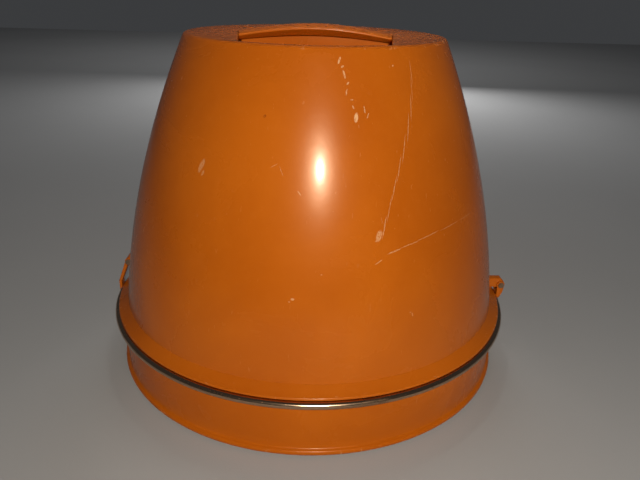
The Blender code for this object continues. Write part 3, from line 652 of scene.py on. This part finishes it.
HOOD_BURNS = [(-15.0, 204.0, 2.4, 1.7, 20, 0.75)]


def zone_of(azimuth, height):
    """Which sheet of marks a point on the hood belongs to: a column of the case and a level in it."""
    column = sum(azimuth > edge for edge in ZONE_AZIMUTHS)
    return column, sum(height > edge for edge in ZONE_HEIGHTS)


def zone_marks(zone, marks):
    """The marks that reach into a zone, tested at their middle and both ends."""
    found = []
    for mark in marks:
        degrees, height, length, _, turn, _ = mark
        reach = length / 2 + 1.0
        along = math.degrees(reach * math.cos(math.radians(turn)) / UNROLL_R)
        rise = reach * math.sin(math.radians(turn))
        if zone in {zone_of(degrees + k * along, height + k * rise) for k in (-1, 0, 1)}:
            found.append(mark)
    return found


def paint_zones(shell):
    """Give each zone of the hood its own sheet of marks over the same plastic."""
    mesh = shell.data
    mesh.materials.clear()
    slots = {}
    for face in mesh.polygons:
        x, y, z = face.center / MM
        zone = zone_of(math.degrees(math.atan2(x, -y)), z)
        if zone not in slots:
            slots[zone] = len(slots)
            name = "case_hood_{}_{}".format(*zone)
            mesh.materials.append(case_orange(name, zone_marks(zone, HOOD_MARKS), HOOD_WORN,
                                              burns=zone_marks(zone, HOOD_BURNS)))
        face.material_index = slots[zone]


def hood():
    """The tapered case with the mouth of its grip recess, hinge block and latch ears."""
    shell = turned("hood_case", hood_outline(), None, sharp=40)
    combine(shell, [hinge_block(), latch_ear("ear_front", -LATCH_EAR_Y),
                    latch_ear("ear_back", LATCH_EAR_Y)], "UNION", 40)
    skin = [(hood_radius(z) - HOOD_WALL - 0.05, z) for z in spread(FITTINGS_TOP, INSIDE_FOOT, 8)]
    mouth = well_form([(0, WELL_FLOOR), (0, HOOD_TOP - 0.9), (0.35, HOOD_TOP - 0.35), (1.3, HOOD_TOP + 0.6)])
    cuts = [turned("inside", [(0, FITTINGS_TOP)] + skin + [(0, INSIDE_FOOT)], None),
            finish_mesh("mouth", mouth, None),
            rod("hinge_bore", PIN_HOLE_R, 60, (HINGE_X, 0, HINGE_Z), (90, 0, 0)),
            rod("latch_bore", PIN_HOLE_R, 60, (LATCH_X, 0, LATCH_Z), (90, 0, 0))]
    combine(shell, cuts, "DIFFERENCE", 40)
    paint_zones(shell)
    return put(shell, "hood", "case_orange", "hood_shell")


def grip_well(material):
    """The cup under the grip: rounded where its walls meet the floor, with air slots in the floor."""
    low, high = WELL_FLOOR - WELL_WALL, HOOD_TOP - HOOD_WALL - GAP
    cup = finish_mesh("grip_cup", well_form([(WELL_WALL - 1.5, low), (WELL_WALL - 0.4, low + 0.5),
                                             (WELL_WALL, low + 1.6), (WELL_WALL, high)]), material)
    hollow = well_form([(-2.2, WELL_FLOOR), (-1.1, WELL_FLOOR + 0.3), (-0.3, WELL_FLOOR + 1.1),
                        (0, WELL_FLOOR + 2.2), (0, HOOD_TOP)])
    cuts = [finish_mesh("hollow", hollow, None)]
    for side in (-1, 1):
        cuts.append(rod("screw_bore", PIN_HOLE_R, 12, (side * GRIP_SCREW_X, 0, WELL_FLOOR)))
    for middle, length in VENT_ROWS:
        for k in range(-3, 4):
            cuts.append(block("vent", (4, length, 12), (10.0 * k, middle, WELL_FLOOR), soft=1.9, steps=4))
    combine(cup, cuts, "DIFFERENCE", 40)
    return put(cup, "hood", "case_orange", "grip_well")


def hinge_block():
    outline = [(139.5, 47.6), (156.6, 47.6), (158.4, 49.4), (158.4, 52.4), (155.4, 55.6), (139.5, 55.6)]
    return side_slab("hinge_block", outline, 0, KNUCKLE_WIDTH, None, 0.6)


def latch_ear(name, y):
    outline = [(-138.6, 73.0)] + arc(LATCH_X, LATCH_Z, 2.9, 100, 260, 12) + [(-139.2, 58.5)]
    return side_slab(name, outline, y, EAR_SHEET, None, 0.3)


# ---------------------------------------------------------------- grip

def strap_height(u, v):
    return STRAP_END + STRAP_RISE * math.cos(u * math.pi / 2) + STRAP_CROWN * (1 - v * v)


def strap_section(u):
    """Closed (y, z) section at a station along the strap: crowned top and two lips that lean in."""
    half = STRAP_WIDTH / 2
    edge, lip = strap_height(u, 1), LIP_END + LIP_RISE * math.cos(u * math.pi / 2)
    upper = [(y, strap_height(u, y / half)) for y in spread(0.9 - half, half - 0.9, 16)]
    right = arc(half - 0.85, edge - 0.85, 0.85, 70, -55, 5)
    right += [(LIP_OUT + 0.5, lip + 0.45), (LIP_OUT + 0.1, lip + 0.15), (LIP_OUT - 0.3, lip),
              (LIP_IN + 0.3, lip), (LIP_IN, lip + 0.3)]
    under = [(y, strap_height(u, y / half) - STRAP_SHEET) for y in spread(LIP_ROOT, -LIP_ROOT, 8)]
    left = [(-y, z) for y, z in reversed(right)]
    return upper + right + under + left


def carry_handle(material):
    """Arched strap on a rib that stands on the recess's floor."""
    loops = [[(u * (WELL_HALF - 0.4 - abs(y) * WELL_TAPER), y, z) for y, z in strap_section(u)]
             for u in spread(-1, 1, 36)]
    strap = finish_mesh("grip_strap", loft_form(loops), material, 40)
    foot = WELL_FLOOR + 0.3
    reach = WELL_HALF - 2.4
    under = [(u * reach, strap_height(u, 0) - STRAP_SHEET / 2) for u in spread(1, -1, 24)]
    web = [(2 - reach, foot), (reach - 2, foot), (reach, foot + 2.4)] + under + [(-reach, foot + 2.4)]
    rib = side_slab("rib", web, 0, 5.0, None, 0.2)
    combine(strap, [rib], "UNION", 40)
    bores = [rod("bore", PIN_HOLE_R, 22, (side * 30, 0, WELL_FLOOR)) for side in (-1, 1)]
    combine(strap, bores, "DIFFERENCE", 40)
    return put(strap, "hood", "case_orange", "carry_handle")


# ---------------------------------------------------------------- base

def base_shell(material):
    inner = DRUM_R - DRUM_WALL
    flange = 149.9
    bead = arc(BEAD_R - 2.2, 3.2, 2.2, 75, -90, 14)
    wall = [(DRUM_R, z) for z in spread(RING_BOTTOM + 1.3, 6.6, 6)]
    fillet = [(DRUM_R + 0.25, 5.9)]
    outline = [(inner, RING_TOP - 1.1), (flange, RING_TOP - 1.1), (flange, RING_BOTTOM + 1.3)] + wall + fillet
    outline += bead + [(inner + 0.8, 1.0), (inner, 2.4), (inner, 35.0), (inner - 3, 38.0), (inner - 3, 39.7),
                       (inner, 39.7)]
    shell = turned("base_drum", outline, material)
    bosses, bores = [], []
    for azimuth in BOSS_AZIMUTHS:
        bosses.append(rod("boss", 6.4, 34.2, around(azimuth, BOSS_PLACE_R, 22.6)))
        bores.append(rod("boss_bore", PIN_HOLE_R, 39.7, around(azimuth, BOSS_PLACE_R, 22.6)))
    combine(shell, bosses + dial_ticks(), "UNION")
    bores.append(block("inlet_window", (24.6, 20, 14.6), (0, DRUM_R, INLET_Z)))
    bores.append(rod("dial_hole", 3.6, 20, around(DIAL_AZIMUTH, DRUM_R, DIAL_Z), (0, 90, DIAL_AZIMUTH)))
    combine(shell, bores, "DIFFERENCE")
    return put(shell, "base", "case_orange", "base_shell")


def trim_ring(material):
    middle, half = (RING_TOP + RING_BOTTOM) / 2, (RING_TOP - RING_BOTTOM) / 2
    crown, sheet, lip = RING_R - half, 0.9, DRUM_R + 0.8
    outer = arc(crown, middle, half, 90, -90, 24)
    inner = arc(crown, middle, half - sheet, -90, 90, 10)
    outline = outer + [(lip, RING_BOTTOM), (lip, RING_BOTTOM + sheet)] + inner
    outline += [(lip, RING_TOP - sheet), (lip, RING_TOP)]
    ring = turned("rolled_trim", outline, material, sharp=50)
    return put(ring, "base", "bright_trim", "trim_ring")


def latch_lever(material):
    x, z = LATCH_X, LATCH_Z
    outline = arc(x, z, 2.8, 20, 160, 10) + [(-154.9, 46.9), (-154.9, 38.2), (-154.3, 37.6), (-153.4, 37.6),
                                             (-152.9, 38.2), (-152.9, 46.2), (-146.0, 62.4)]
    lever = side_slab("latch_arm", outline, 0, LEVER_WIDTH, material, 0.4)
    combine(lever, [rod("bore", PIN_HOLE_R, 40, (x, 0, z), (90, 0, 0))], "DIFFERENCE")
    return put(lever, "latch", "case_orange", "latch_lever")


def hinge_bracket(material):
    side_view = [(146.3, 13.0), (148.9, 13.0), (148.9, 33.0), (155.6, 39.4), (155.6, 44.6),
                 (153.2, 44.6), (153.2, 40.6), (146.3, 34.6)]
    bracket = side_slab("hinge_plate", side_view, 0, BRACKET_WIDTH, material, 0.5)
    ears = []
    for side in (-1, 1):
        outline = arc(HINGE_X, HINGE_Z, 3.0, 0, 180, 14) + [(153.2, 40.8), (155.6, 39.5), (157.6, 44.0)]
        ears.append(side_slab("ear", outline, side * HINGE_EAR_Y, EAR_SHEET, None, 0.3))
    combine(bracket, ears, "UNION")
    combine(bracket, [rod("bore", PIN_HOLE_R, 60, (HINGE_X, 0, HINGE_Z), (90, 0, 0))], "DIFFERENCE")
    return put(bracket, "base", "case_orange", "hinge_bracket")


# ---------------------------------------------------------------- deck, grilles and bottom

def polar_grille(name, radii, spokes, spoke_part, low, high, material):
    """A flat grille of rings and spokes: radii alternate between the edges of a bar and of a gap."""
    form = bmesh.new()
    per_gap = 4
    angles = []
    for k in range(spokes):
        start = (k - spoke_part / 2) * 2 * math.pi / spokes
        bar, gap = 2 * math.pi * spoke_part / spokes, 2 * math.pi * (1 - spoke_part) / spokes
        angles += [(start, True)] + [(start + bar + gap * n / per_gap, False) for n in range(per_gap)]
    grid = [[form.verts.new((r * MM * math.cos(a), r * MM * math.sin(a), low * MM)) for a, _ in angles]
            for r in radii]
    for band, (inner, outer) in enumerate(zip(grid, grid[1:])):
        for k, (_, is_spoke) in enumerate(angles):
            n = (k + 1) % len(angles)
            if is_spoke or band % 2 == 0:
                form.faces.new((inner[k], outer[k], outer[n], inner[n]))
    lifted = bmesh.ops.extrude_face_region(form, geom=form.faces[:])["geom"]
    rise = Vector((0, 0, (high - low) * MM))
    bmesh.ops.translate(form, vec=rise, verts=[g for g in lifted if isinstance(g, bmesh.types.BMVert)])
    bmesh.ops.delete(form, geom=[v for v in form.verts if not v.link_faces], context="VERTS")
    return finish_mesh(name, form, material)


def even_bands(inner, outer, bars, bar):
    """Radii of bars spread evenly from inner to outer, each bar wide, as polar_grille takes them."""
    step = (outer - inner - bar) / (bars - 1)
    return [edge for k in range(bars) for edge in (inner + k * step, inner + k * step + bar)]


def deck_plate(material):
    """Floor under the trays: a soft-edged tower for the outlet and a groove that the first tray sits in."""
    under = DECK_TOP - DECK_SHEET
    outline = [(TOWER_HOLE_R, TOWER_TOP)] + arc(55.2, TOWER_TOP - 0.8, 0.8, 90, 20, 4)
    outline += arc(60.2, DECK_TOP + 1.6, 1.6, 195, 270, 6)
    outline += [(100.4, DECK_TOP), (100.8, DECK_TOP - 0.5), (104.8, DECK_TOP - 0.5), (105.2, DECK_TOP)]
    outline += [(DECK_R - 0.4, DECK_TOP), (DECK_R, DECK_TOP - 0.4), (DECK_R, under), (52.4, under),
                (52.4, TOWER_TOP - 2.0), (TOWER_HOLE_R, TOWER_TOP - 2.0)]
    deck = turned("deck_floor", outline, material)
    holes = [rod("hole", PIN_HOLE_R, 10, around(a, BOSS_PLACE_R, DECK_TOP)) for a in BOSS_AZIMUTHS]
    combine(deck, holes, "DIFFERENCE")
    return put(deck, "base", "case_orange", "deck_plate")


def outlet_guard(material):
    low = TOWER_TOP + GAP
    radii = [4.0, 12.0] + even_bands(15.6, 47.6, 7, 1.6)
    radii[-1] = 55.4
    guard = polar_grille("outlet_grille", radii, 12, 0.16, low, low + 1.6, material)
    soften(guard, 0.35)
    return put(guard, "base", "steel", "outlet_guard")


def soften(piece, width):
    edge = piece.modifiers.new("soft_edges", "BEVEL")
    edge.width = width * MM
    edge.segments = 2
    edge.limit_method = "ANGLE"
    edge.harden_normals = True
    return piece


def bottom_plate(material):
    """Cover under the motor: round-ended intake slots inside a low ring, and pads for the motor."""
    rim = [(DECK_R, PLATE_TOP - 0.3), (DECK_R, PLATE_BOTTOM + 0.3), (DECK_R - 0.3, PLATE_BOTTOM)]
    ring = [(64.4, PLATE_BOTTOM), (64.0, PLATE_BOTTOM + 0.5), (61.0, PLATE_BOTTOM + 0.5),
            (60.6, PLATE_BOTTOM)]
    outline = [(0, PLATE_TOP), (DECK_R - 0.3, PLATE_TOP)] + rim + ring + [(0, PLATE_BOTTOM)]
    cover = turned("base_cover", outline, material)
    pads = [rod("pad", 4.6, 1.8, (side * MOTOR_SCREW_X, 0, PLATE_TOP + 0.2)) for side in (-1, 1)]
    combine(cover, pads, "UNION")
    cuts = [rod("hole", PIN_HOLE_R, 12, (side * MOTOR_SCREW_X, 0, PLATE_TOP)) for side in (-1, 1)]
    cuts += [rod("hole", PIN_HOLE_R, 10, around(a, BOSS_PLACE_R, PLATE_TOP)) for a in BOSS_AZIMUTHS]
    for k in range(12):
        azimuth = 15.0 + 30.0 * k
        cuts.append(block("slot", (31.0, 3.6, 10), around(azimuth, 42.5, PLATE_TOP), (0, 0, azimuth), 1.7,
                          steps=4))
    combine(cover, cuts, "DIFFERENCE")
    return put(cover, "base", "black_plastic", "bottom_plate")


def feet(material):
    """Rubber feet with a rounded tread and a shallow hollow under each."""
    top = PLATE_BOTTOM - GAP
    outline = [(0, top), (7.6, top), (8.0, top - 0.4)] + arc(6.9, 1.1, 1.1, 0, -90, 6)
    outline += [(4.4, 0), (4.0, 0.5), (0, 0.5)]
    for number, azimuth in enumerate(FOOT_AZIMUTHS, 1):
        here = Matrix.Translation(Vector(around(azimuth, FOOT_PLACE_R, 0)) * MM)
        foot = turned(f"rubber_foot_{number}", outline, material, 40, frame_in=here)
        put(foot, "base", "rubber_foot", f"foot_{number}")


def screw(node, at, length, body, material, upside_down=False):
    """A pan-head screw with a crossed slot; its head's seat is at the given place."""
    head = [(0, 1.7), (1.4, 1.66)] + arc(2.3, 0.8, 0.9, 75, 0, 6) + [(3.2, 0.0)]
    pitch, rise = 0.8, 0.18
    thread = [(PIN_R - rise * (k % 2), -0.4 - k * pitch / 2) for k in range(int((length - 1.2) / pitch * 2))]
    form_at = Matrix.Translation(Vector(at) * MM)
    if upside_down:
        form_at = form_at @ Matrix.Rotation(math.pi, 4, "X")
    piece = turned(f"{node}_pan", head + [(PIN_R, 0.0)] + thread + [(0.7, -length + 0.2), (0, -length)],
                   material, 28, frame_in=form_at)
    drive = 1.5 if not upside_down else -1.5
    place = (at[0], at[1], at[2] + drive)
    slots = [block("drive", (3.6, 0.7, 1.4), place, (0, 0, turn), 0.15) for turn in (20, 110)]
    combine(piece, slots, "DIFFERENCE")
    return put(piece, body, "zinc", node)


def screws(material):
    for number, azimuth in enumerate(BOSS_AZIMUTHS, 1):
        under = around(azimuth, BOSS_PLACE_R, PLATE_BOTTOM - GAP)
        screw(f"plate_screw_{number}", under, 14, "base", material, True)
        screw(f"deck_screw_{number}", around(azimuth, BOSS_PLACE_R, DECK_TOP + GAP), 12, "base", material)
    for number, side in ((1, -1), (2, 1)):
        seat = (side * GRIP_SCREW_X, 0, WELL_FLOOR - WELL_WALL - GAP)
        screw(f"handle_screw_{number}", seat, 12, "hood", material, True)
        screw(f"motor_screw_{number}", (side * MOTOR_SCREW_X, 0, 21.8), 18, "base", material)


# ---------------------------------------------------------------- trays

def tray(number, material):
    """A ring wall with rounded rims and two shallow grooves, and a ring-and-spoke screen on its ledge."""
    height, inner = TRAY_PITCH - GAP, TRAY_R - TRAY_WALL
    ledge = TRAY_FLOOR - GAP
    foot = DECK_TOP + GAP + TRAY_PITCH * (number - 1)
    crown = TRAY_WALL / 2
    outline = arc(TRAY_R - crown, height - crown, crown, 180, 0, 8)
    for groove in (17.5, 6.5):
        outline += [(TRAY_R, groove + 1.2), (TRAY_R - 0.5, groove + 0.7), (TRAY_R - 0.5, groove - 0.7),
                    (TRAY_R, groove - 1.2)]
    outline += [(TRAY_R, 0.4), (TRAY_R - 0.4, 0), (inner + 0.4, 0), (inner, 0.4),
                (inner, ledge - LEDGE_SHEET), (LEDGE_R + 0.4, ledge - LEDGE_SHEET),
                (LEDGE_R, ledge - LEDGE_SHEET + 0.4), (LEDGE_R, ledge - 0.3), (LEDGE_R + 0.3, ledge),
                (inner, ledge)]
    here = Matrix.Translation((0, 0, foot * MM))
    wall = turned(f"tray_wall_{number}", outline, material, 144, frame_in=here)
    put(wall, f"tray_{number}_body", "tray_plastic", f"tray_{number}")
    radii = [3.5, 14.0] + even_bands(19.0, inner - GAP, 11, 2.2)
    radii[-2] = 94.5
    low = foot + TRAY_FLOOR
    screen = polar_grille(f"tray_mesh_{number}", radii, 24, 0.14, low, low + TRAY_FLOOR_SHEET, material)
    put(screen, f"tray_{number}_body", "tray_plastic", f"tray_screen_{number}")


# ---------------------------------------------------------------- fan and heater

def blade_form(azimuth):
    """One fan blade: curved sections that flatten towards the tip."""
    loops = []
    for part in spread(0, 1, 8):
        radius = 11.0 + (FAN_R - 11.0) * part
        pitch = math.radians(34 - 12 * part)
        chord, thick, bow = 20.0 + 3.0 * part, 1.8 - 0.6 * part, 2.4
        loop = []
        for side in (1, -1):
            for t in spread(-1, 1, 8) if side > 0 else spread(1, -1, 8):
                across = t * chord / 2
                rise = bow * (1 - t * t) + side * thick / 2 * math.sqrt(max(0.04, 1 - t * t))
                y = across * math.cos(pitch) - rise * math.sin(pitch)
                z = across * math.sin(pitch) + rise * math.cos(pitch) - bow / 2
                loop.append((radius, y, 31.0 + z))
        loops.append(loop)
    form = loft_form(loops)
    bmesh.ops.transform(form, matrix=Matrix.Rotation(math.radians(azimuth), 4, "Z"), verts=form.verts)
    return form


def fan_impeller(material):
    cap = [(0, 37.4)] + arc(10.0, 33.9, 3.5, 90, 0, 8) + [(13.5, 25.4), (13.1, 25.0), (0, 25.0)]
    hub = turned("fan_wheel", cap, material, 64)
    blades = [finish_mesh("blade", blade_form(360.0 * k / FAN_BLADES), None) for k in range(FAN_BLADES)]
    combine(hub, blades, "UNION")
    combine(hub, [rod("bore", PIN_HOLE_R, 24.0, (0, 0, 25.5))], "DIFFERENCE")
    return put(hub, "fan", "black_plastic", "fan_impeller")


def heater_element(material):
    """Round sheathed element, wound as a flat spiral."""
    curve = bpy.data.curves.new("sheathed_spiral", "CURVE")
    curve.dimensions = "3D"
    curve.bevel_depth = 2.1 * MM
    curve.bevel_resolution = 5
    curve.use_fill_caps = True
    spline = curve.splines.new("POLY")
    steps, turns = 150, 1.9
    spline.points.add(steps)
    for k, point in enumerate(spline.points):
        part = k / steps
        point.co = (*(Vector(around(25 + 360 * turns * part, 19 + 20 * part, 44.2)) * MM), 1)
    curve.materials.append(material)
    return put(link("heater_spiral", curve), "base", "steel", "heater_element")


# ---------------------------------------------------------------- controls

def dial_frame():
    """Local axes of the dial: its own Z points out of the drum's wall."""
    turn = Matrix.Rotation(math.radians(DIAL_AZIMUTH), 4, "Z") @ Matrix.Rotation(math.radians(90), 4, "Y")
    return Matrix.Translation(Vector(around(DIAL_AZIMUTH, DRUM_R + 0.7, DIAL_Z)) * MM) @ turn


def thermostat_knob(material):
    """Fluted knob with a raised pointer bar across its face."""
    lobes, points = 20, 160
    loops = []
    for radius, height, depth in ((12.2, 0.0, 0.0), (13.0, 0.6, 0.0), (13.0, 1.6, 0.0), (12.6, 2.0, 0.55),
                                  (12.3, 4.2, 0.55), (11.7, 4.9, 0.3), (10.8, 5.2, 0.0), (0.5, 5.2, 0.0)):
        loop = []
        for k in range(points):
            angle = 2 * math.pi * k / points
            r = radius - depth * (0.5 - 0.5 * math.cos(lobes * angle)) ** 2
            loop.append((r * math.cos(angle), r * math.sin(angle), height))
        loops.append(loop)
    form = loft_form(loops)
    here = dial_frame()
    bmesh.ops.transform(form, matrix=here, verts=form.verts)
    knob = finish_mesh("heat_dial", form, material)
    pointer = block("pointer", (17.0, 2.6, 1.2), (-1.5, 0, 5.2), soft=0.5)
    pointer.data.transform(here)
    combine(knob, [pointer], "UNION")
    socket = rod("socket", 3.3, 7.2, (0, 0, 0))
    socket.data.transform(here)
    combine(knob, [socket], "DIFFERENCE")
    return put(knob, "dial", "black_plastic", "thermostat_knob")


def dial_ticks():
    """Raised marks round the dial on the drum's wall, longer at the two ends of its travel."""
    ticks = []
    for k in range(10):
        angle = math.radians(135 - 30 * k)
        length = 3.6 if k in (0, 9) else 2.2
        y, x = TICK_R * math.sin(angle), TICK_R * math.cos(angle)
        ticks.append(tick(x, y, math.degrees(angle), length))
    return ticks


def tick(x, y, turn, length):
    mark = block("tick", (length, 0.9, 1.6), (x, y, 0), (0, 0, turn), 0.25)
    azimuth = DIAL_AZIMUTH + math.degrees(y / DRUM_R)
    stand = Matrix.Rotation(math.radians(azimuth), 4, "Z") @ Matrix.Rotation(math.radians(90), 4, "Y")
    mark.data.transform(Matrix.Translation(Vector((0, -y, 0)) * MM))
    mark.data.transform(Matrix.Translation(Vector(around(azimuth, DRUM_R, DIAL_Z)) * MM) @ stand)
    return mark


def power_inlet(material):
    """Two-pin mains socket with a rounded recess."""
    depth, face = 22.0, DRUM_R + 0.5
    socket = block("mains_inlet", (24.0, depth, 14.0), (0, face - depth / 2, INLET_Z), soft=0.9,
                   material=material)
    recess = block("recess", (19.0, 24.0, 9.0), (0, face, INLET_Z), soft=3.2, steps=6)
    rim = block("rim", (20.2, 1.4, 10.2), (0, face, INLET_Z), soft=0.6)
    combine(socket, [recess, rim], "DIFFERENCE")
    return put(socket, "base", "black_plastic", "power_inlet")


# ---------------------------------------------------------------- CAD nodes that keep their shape

def repaint(material, *names, edge=0.0):
    for name in names:
        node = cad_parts[name]
        node.data.materials.clear()
        node.data.materials.append(material)
        if edge:
            soften(node, edge)


def laminations():
    """Stacked motor sheets: thin level lines on dull steel with a bloom of rust."""
    s = Shader("stacked_sheets", (0.42, 0.42, 0.44), 0.4, 1.0)
    sheets = s.node("ShaderNodeTexWave", wave_type="BANDS", bands_direction="Z")
    s.feed(sheets.inputs["Vector"], s.place)
    sheets.inputs["Scale"].default_value = 620.0
    rust = s.span(s.noise(60.0, 5.0, 0.65), 0.50, 0.72)
    colour = s.mix(s.times(rust, 0.5), (0.42, 0.42, 0.44), (0.22, 0.10, 0.05))
    return s.use(Base_Color=colour, Roughness=s.span(rust, 0, 1, 0.34, 0.65),
                 Normal=s.bump(sheets.outputs["Fac"], 0.0002, 0.6))


def paint_nodes(steel, zinc, black):
    repaint(steel, "fan_shroud", "motor_bracket_lower", "motor_bracket_upper", "motor_rotor", "fan_shaft",
            "thermostat_spindle", edge=0.2)
    # Hinge and latch pins: steel darkened to a dim bronze-brown.
    repaint(plain_metal("darkened_pin_steel", (0.32, 0.22, 0.15), 0.42, 400.0), "hinge_pin", "latch_pin", edge=0.3)
    repaint(zinc, "inlet_pin_1", "inlet_pin_2", "thermal_fuse", edge=0.3)
    repaint(laminations(), "motor_stator", edge=0.3)
    repaint(black, "thermostat_body")
    repaint(copper_wire(), "motor_coil")
    repaint(mica(), "heater_frame", edge=0.15)
    repaint(plain_metal("sintered_bronze", (0.50, 0.33, 0.14), 0.40, 900.0), "bearing_lower", "bearing_upper")
    repaint(moulded("wire_sleeve", (0.55, 0.53, 0.48), 0.5), "wire_live", "wire_neutral", "wire_heater")


def upper_case():
    hood()
    grip_well(case_orange("case_well"))
    # The pale band at the strap's ends is partly wear and partly a painted highlight.
    carry_handle(case_orange("case_strap", wear_and_highlight_heights=((241.2, 0.9, 0.25),)))
    latch_lever(case_orange("case_latch"))


def lower_case():
    base_shell(case_orange("case_drum", wear_and_highlight_heights=((2.6, 2.6, 0.4),), coat=0.03, ior=1.27))
    trim_ring(bright_metal())
    hinge_bracket(case_orange("case_bracket"))
    deck_plate(case_orange("case_deck"))


def works():
    steel = plain_metal("sheet_steel", (0.55, 0.55, 0.56), 0.34)
    zinc = plain_metal("zinc_plate", (0.62, 0.62, 0.58), 0.30, 400.0)
    black = moulded("black_moulding", (0.018, 0.018, 0.020), 0.42, wear=(0.05, 0.05, 0.05))
    cream = moulded("tray_cream", (0.72, 0.62, 0.42), 0.40, wear=(0.08, 0.08, 0.08))
    outlet_guard(steel)
    bottom_plate(black)
    feet(moulded("foot_rubber", (0.03, 0.03, 0.03), 0.8, 900.0))
    screws(zinc)
    fan_impeller(black)
    heater_element(steel)
    thermostat_knob(black)
    power_inlet(black)
    for number in range(1, TRAY_COUNT + 1):
        tray(number, cream)
    paint_nodes(steel, zinc, black)


camera()
studio()
floor()
upper_case()
lower_case()
works()
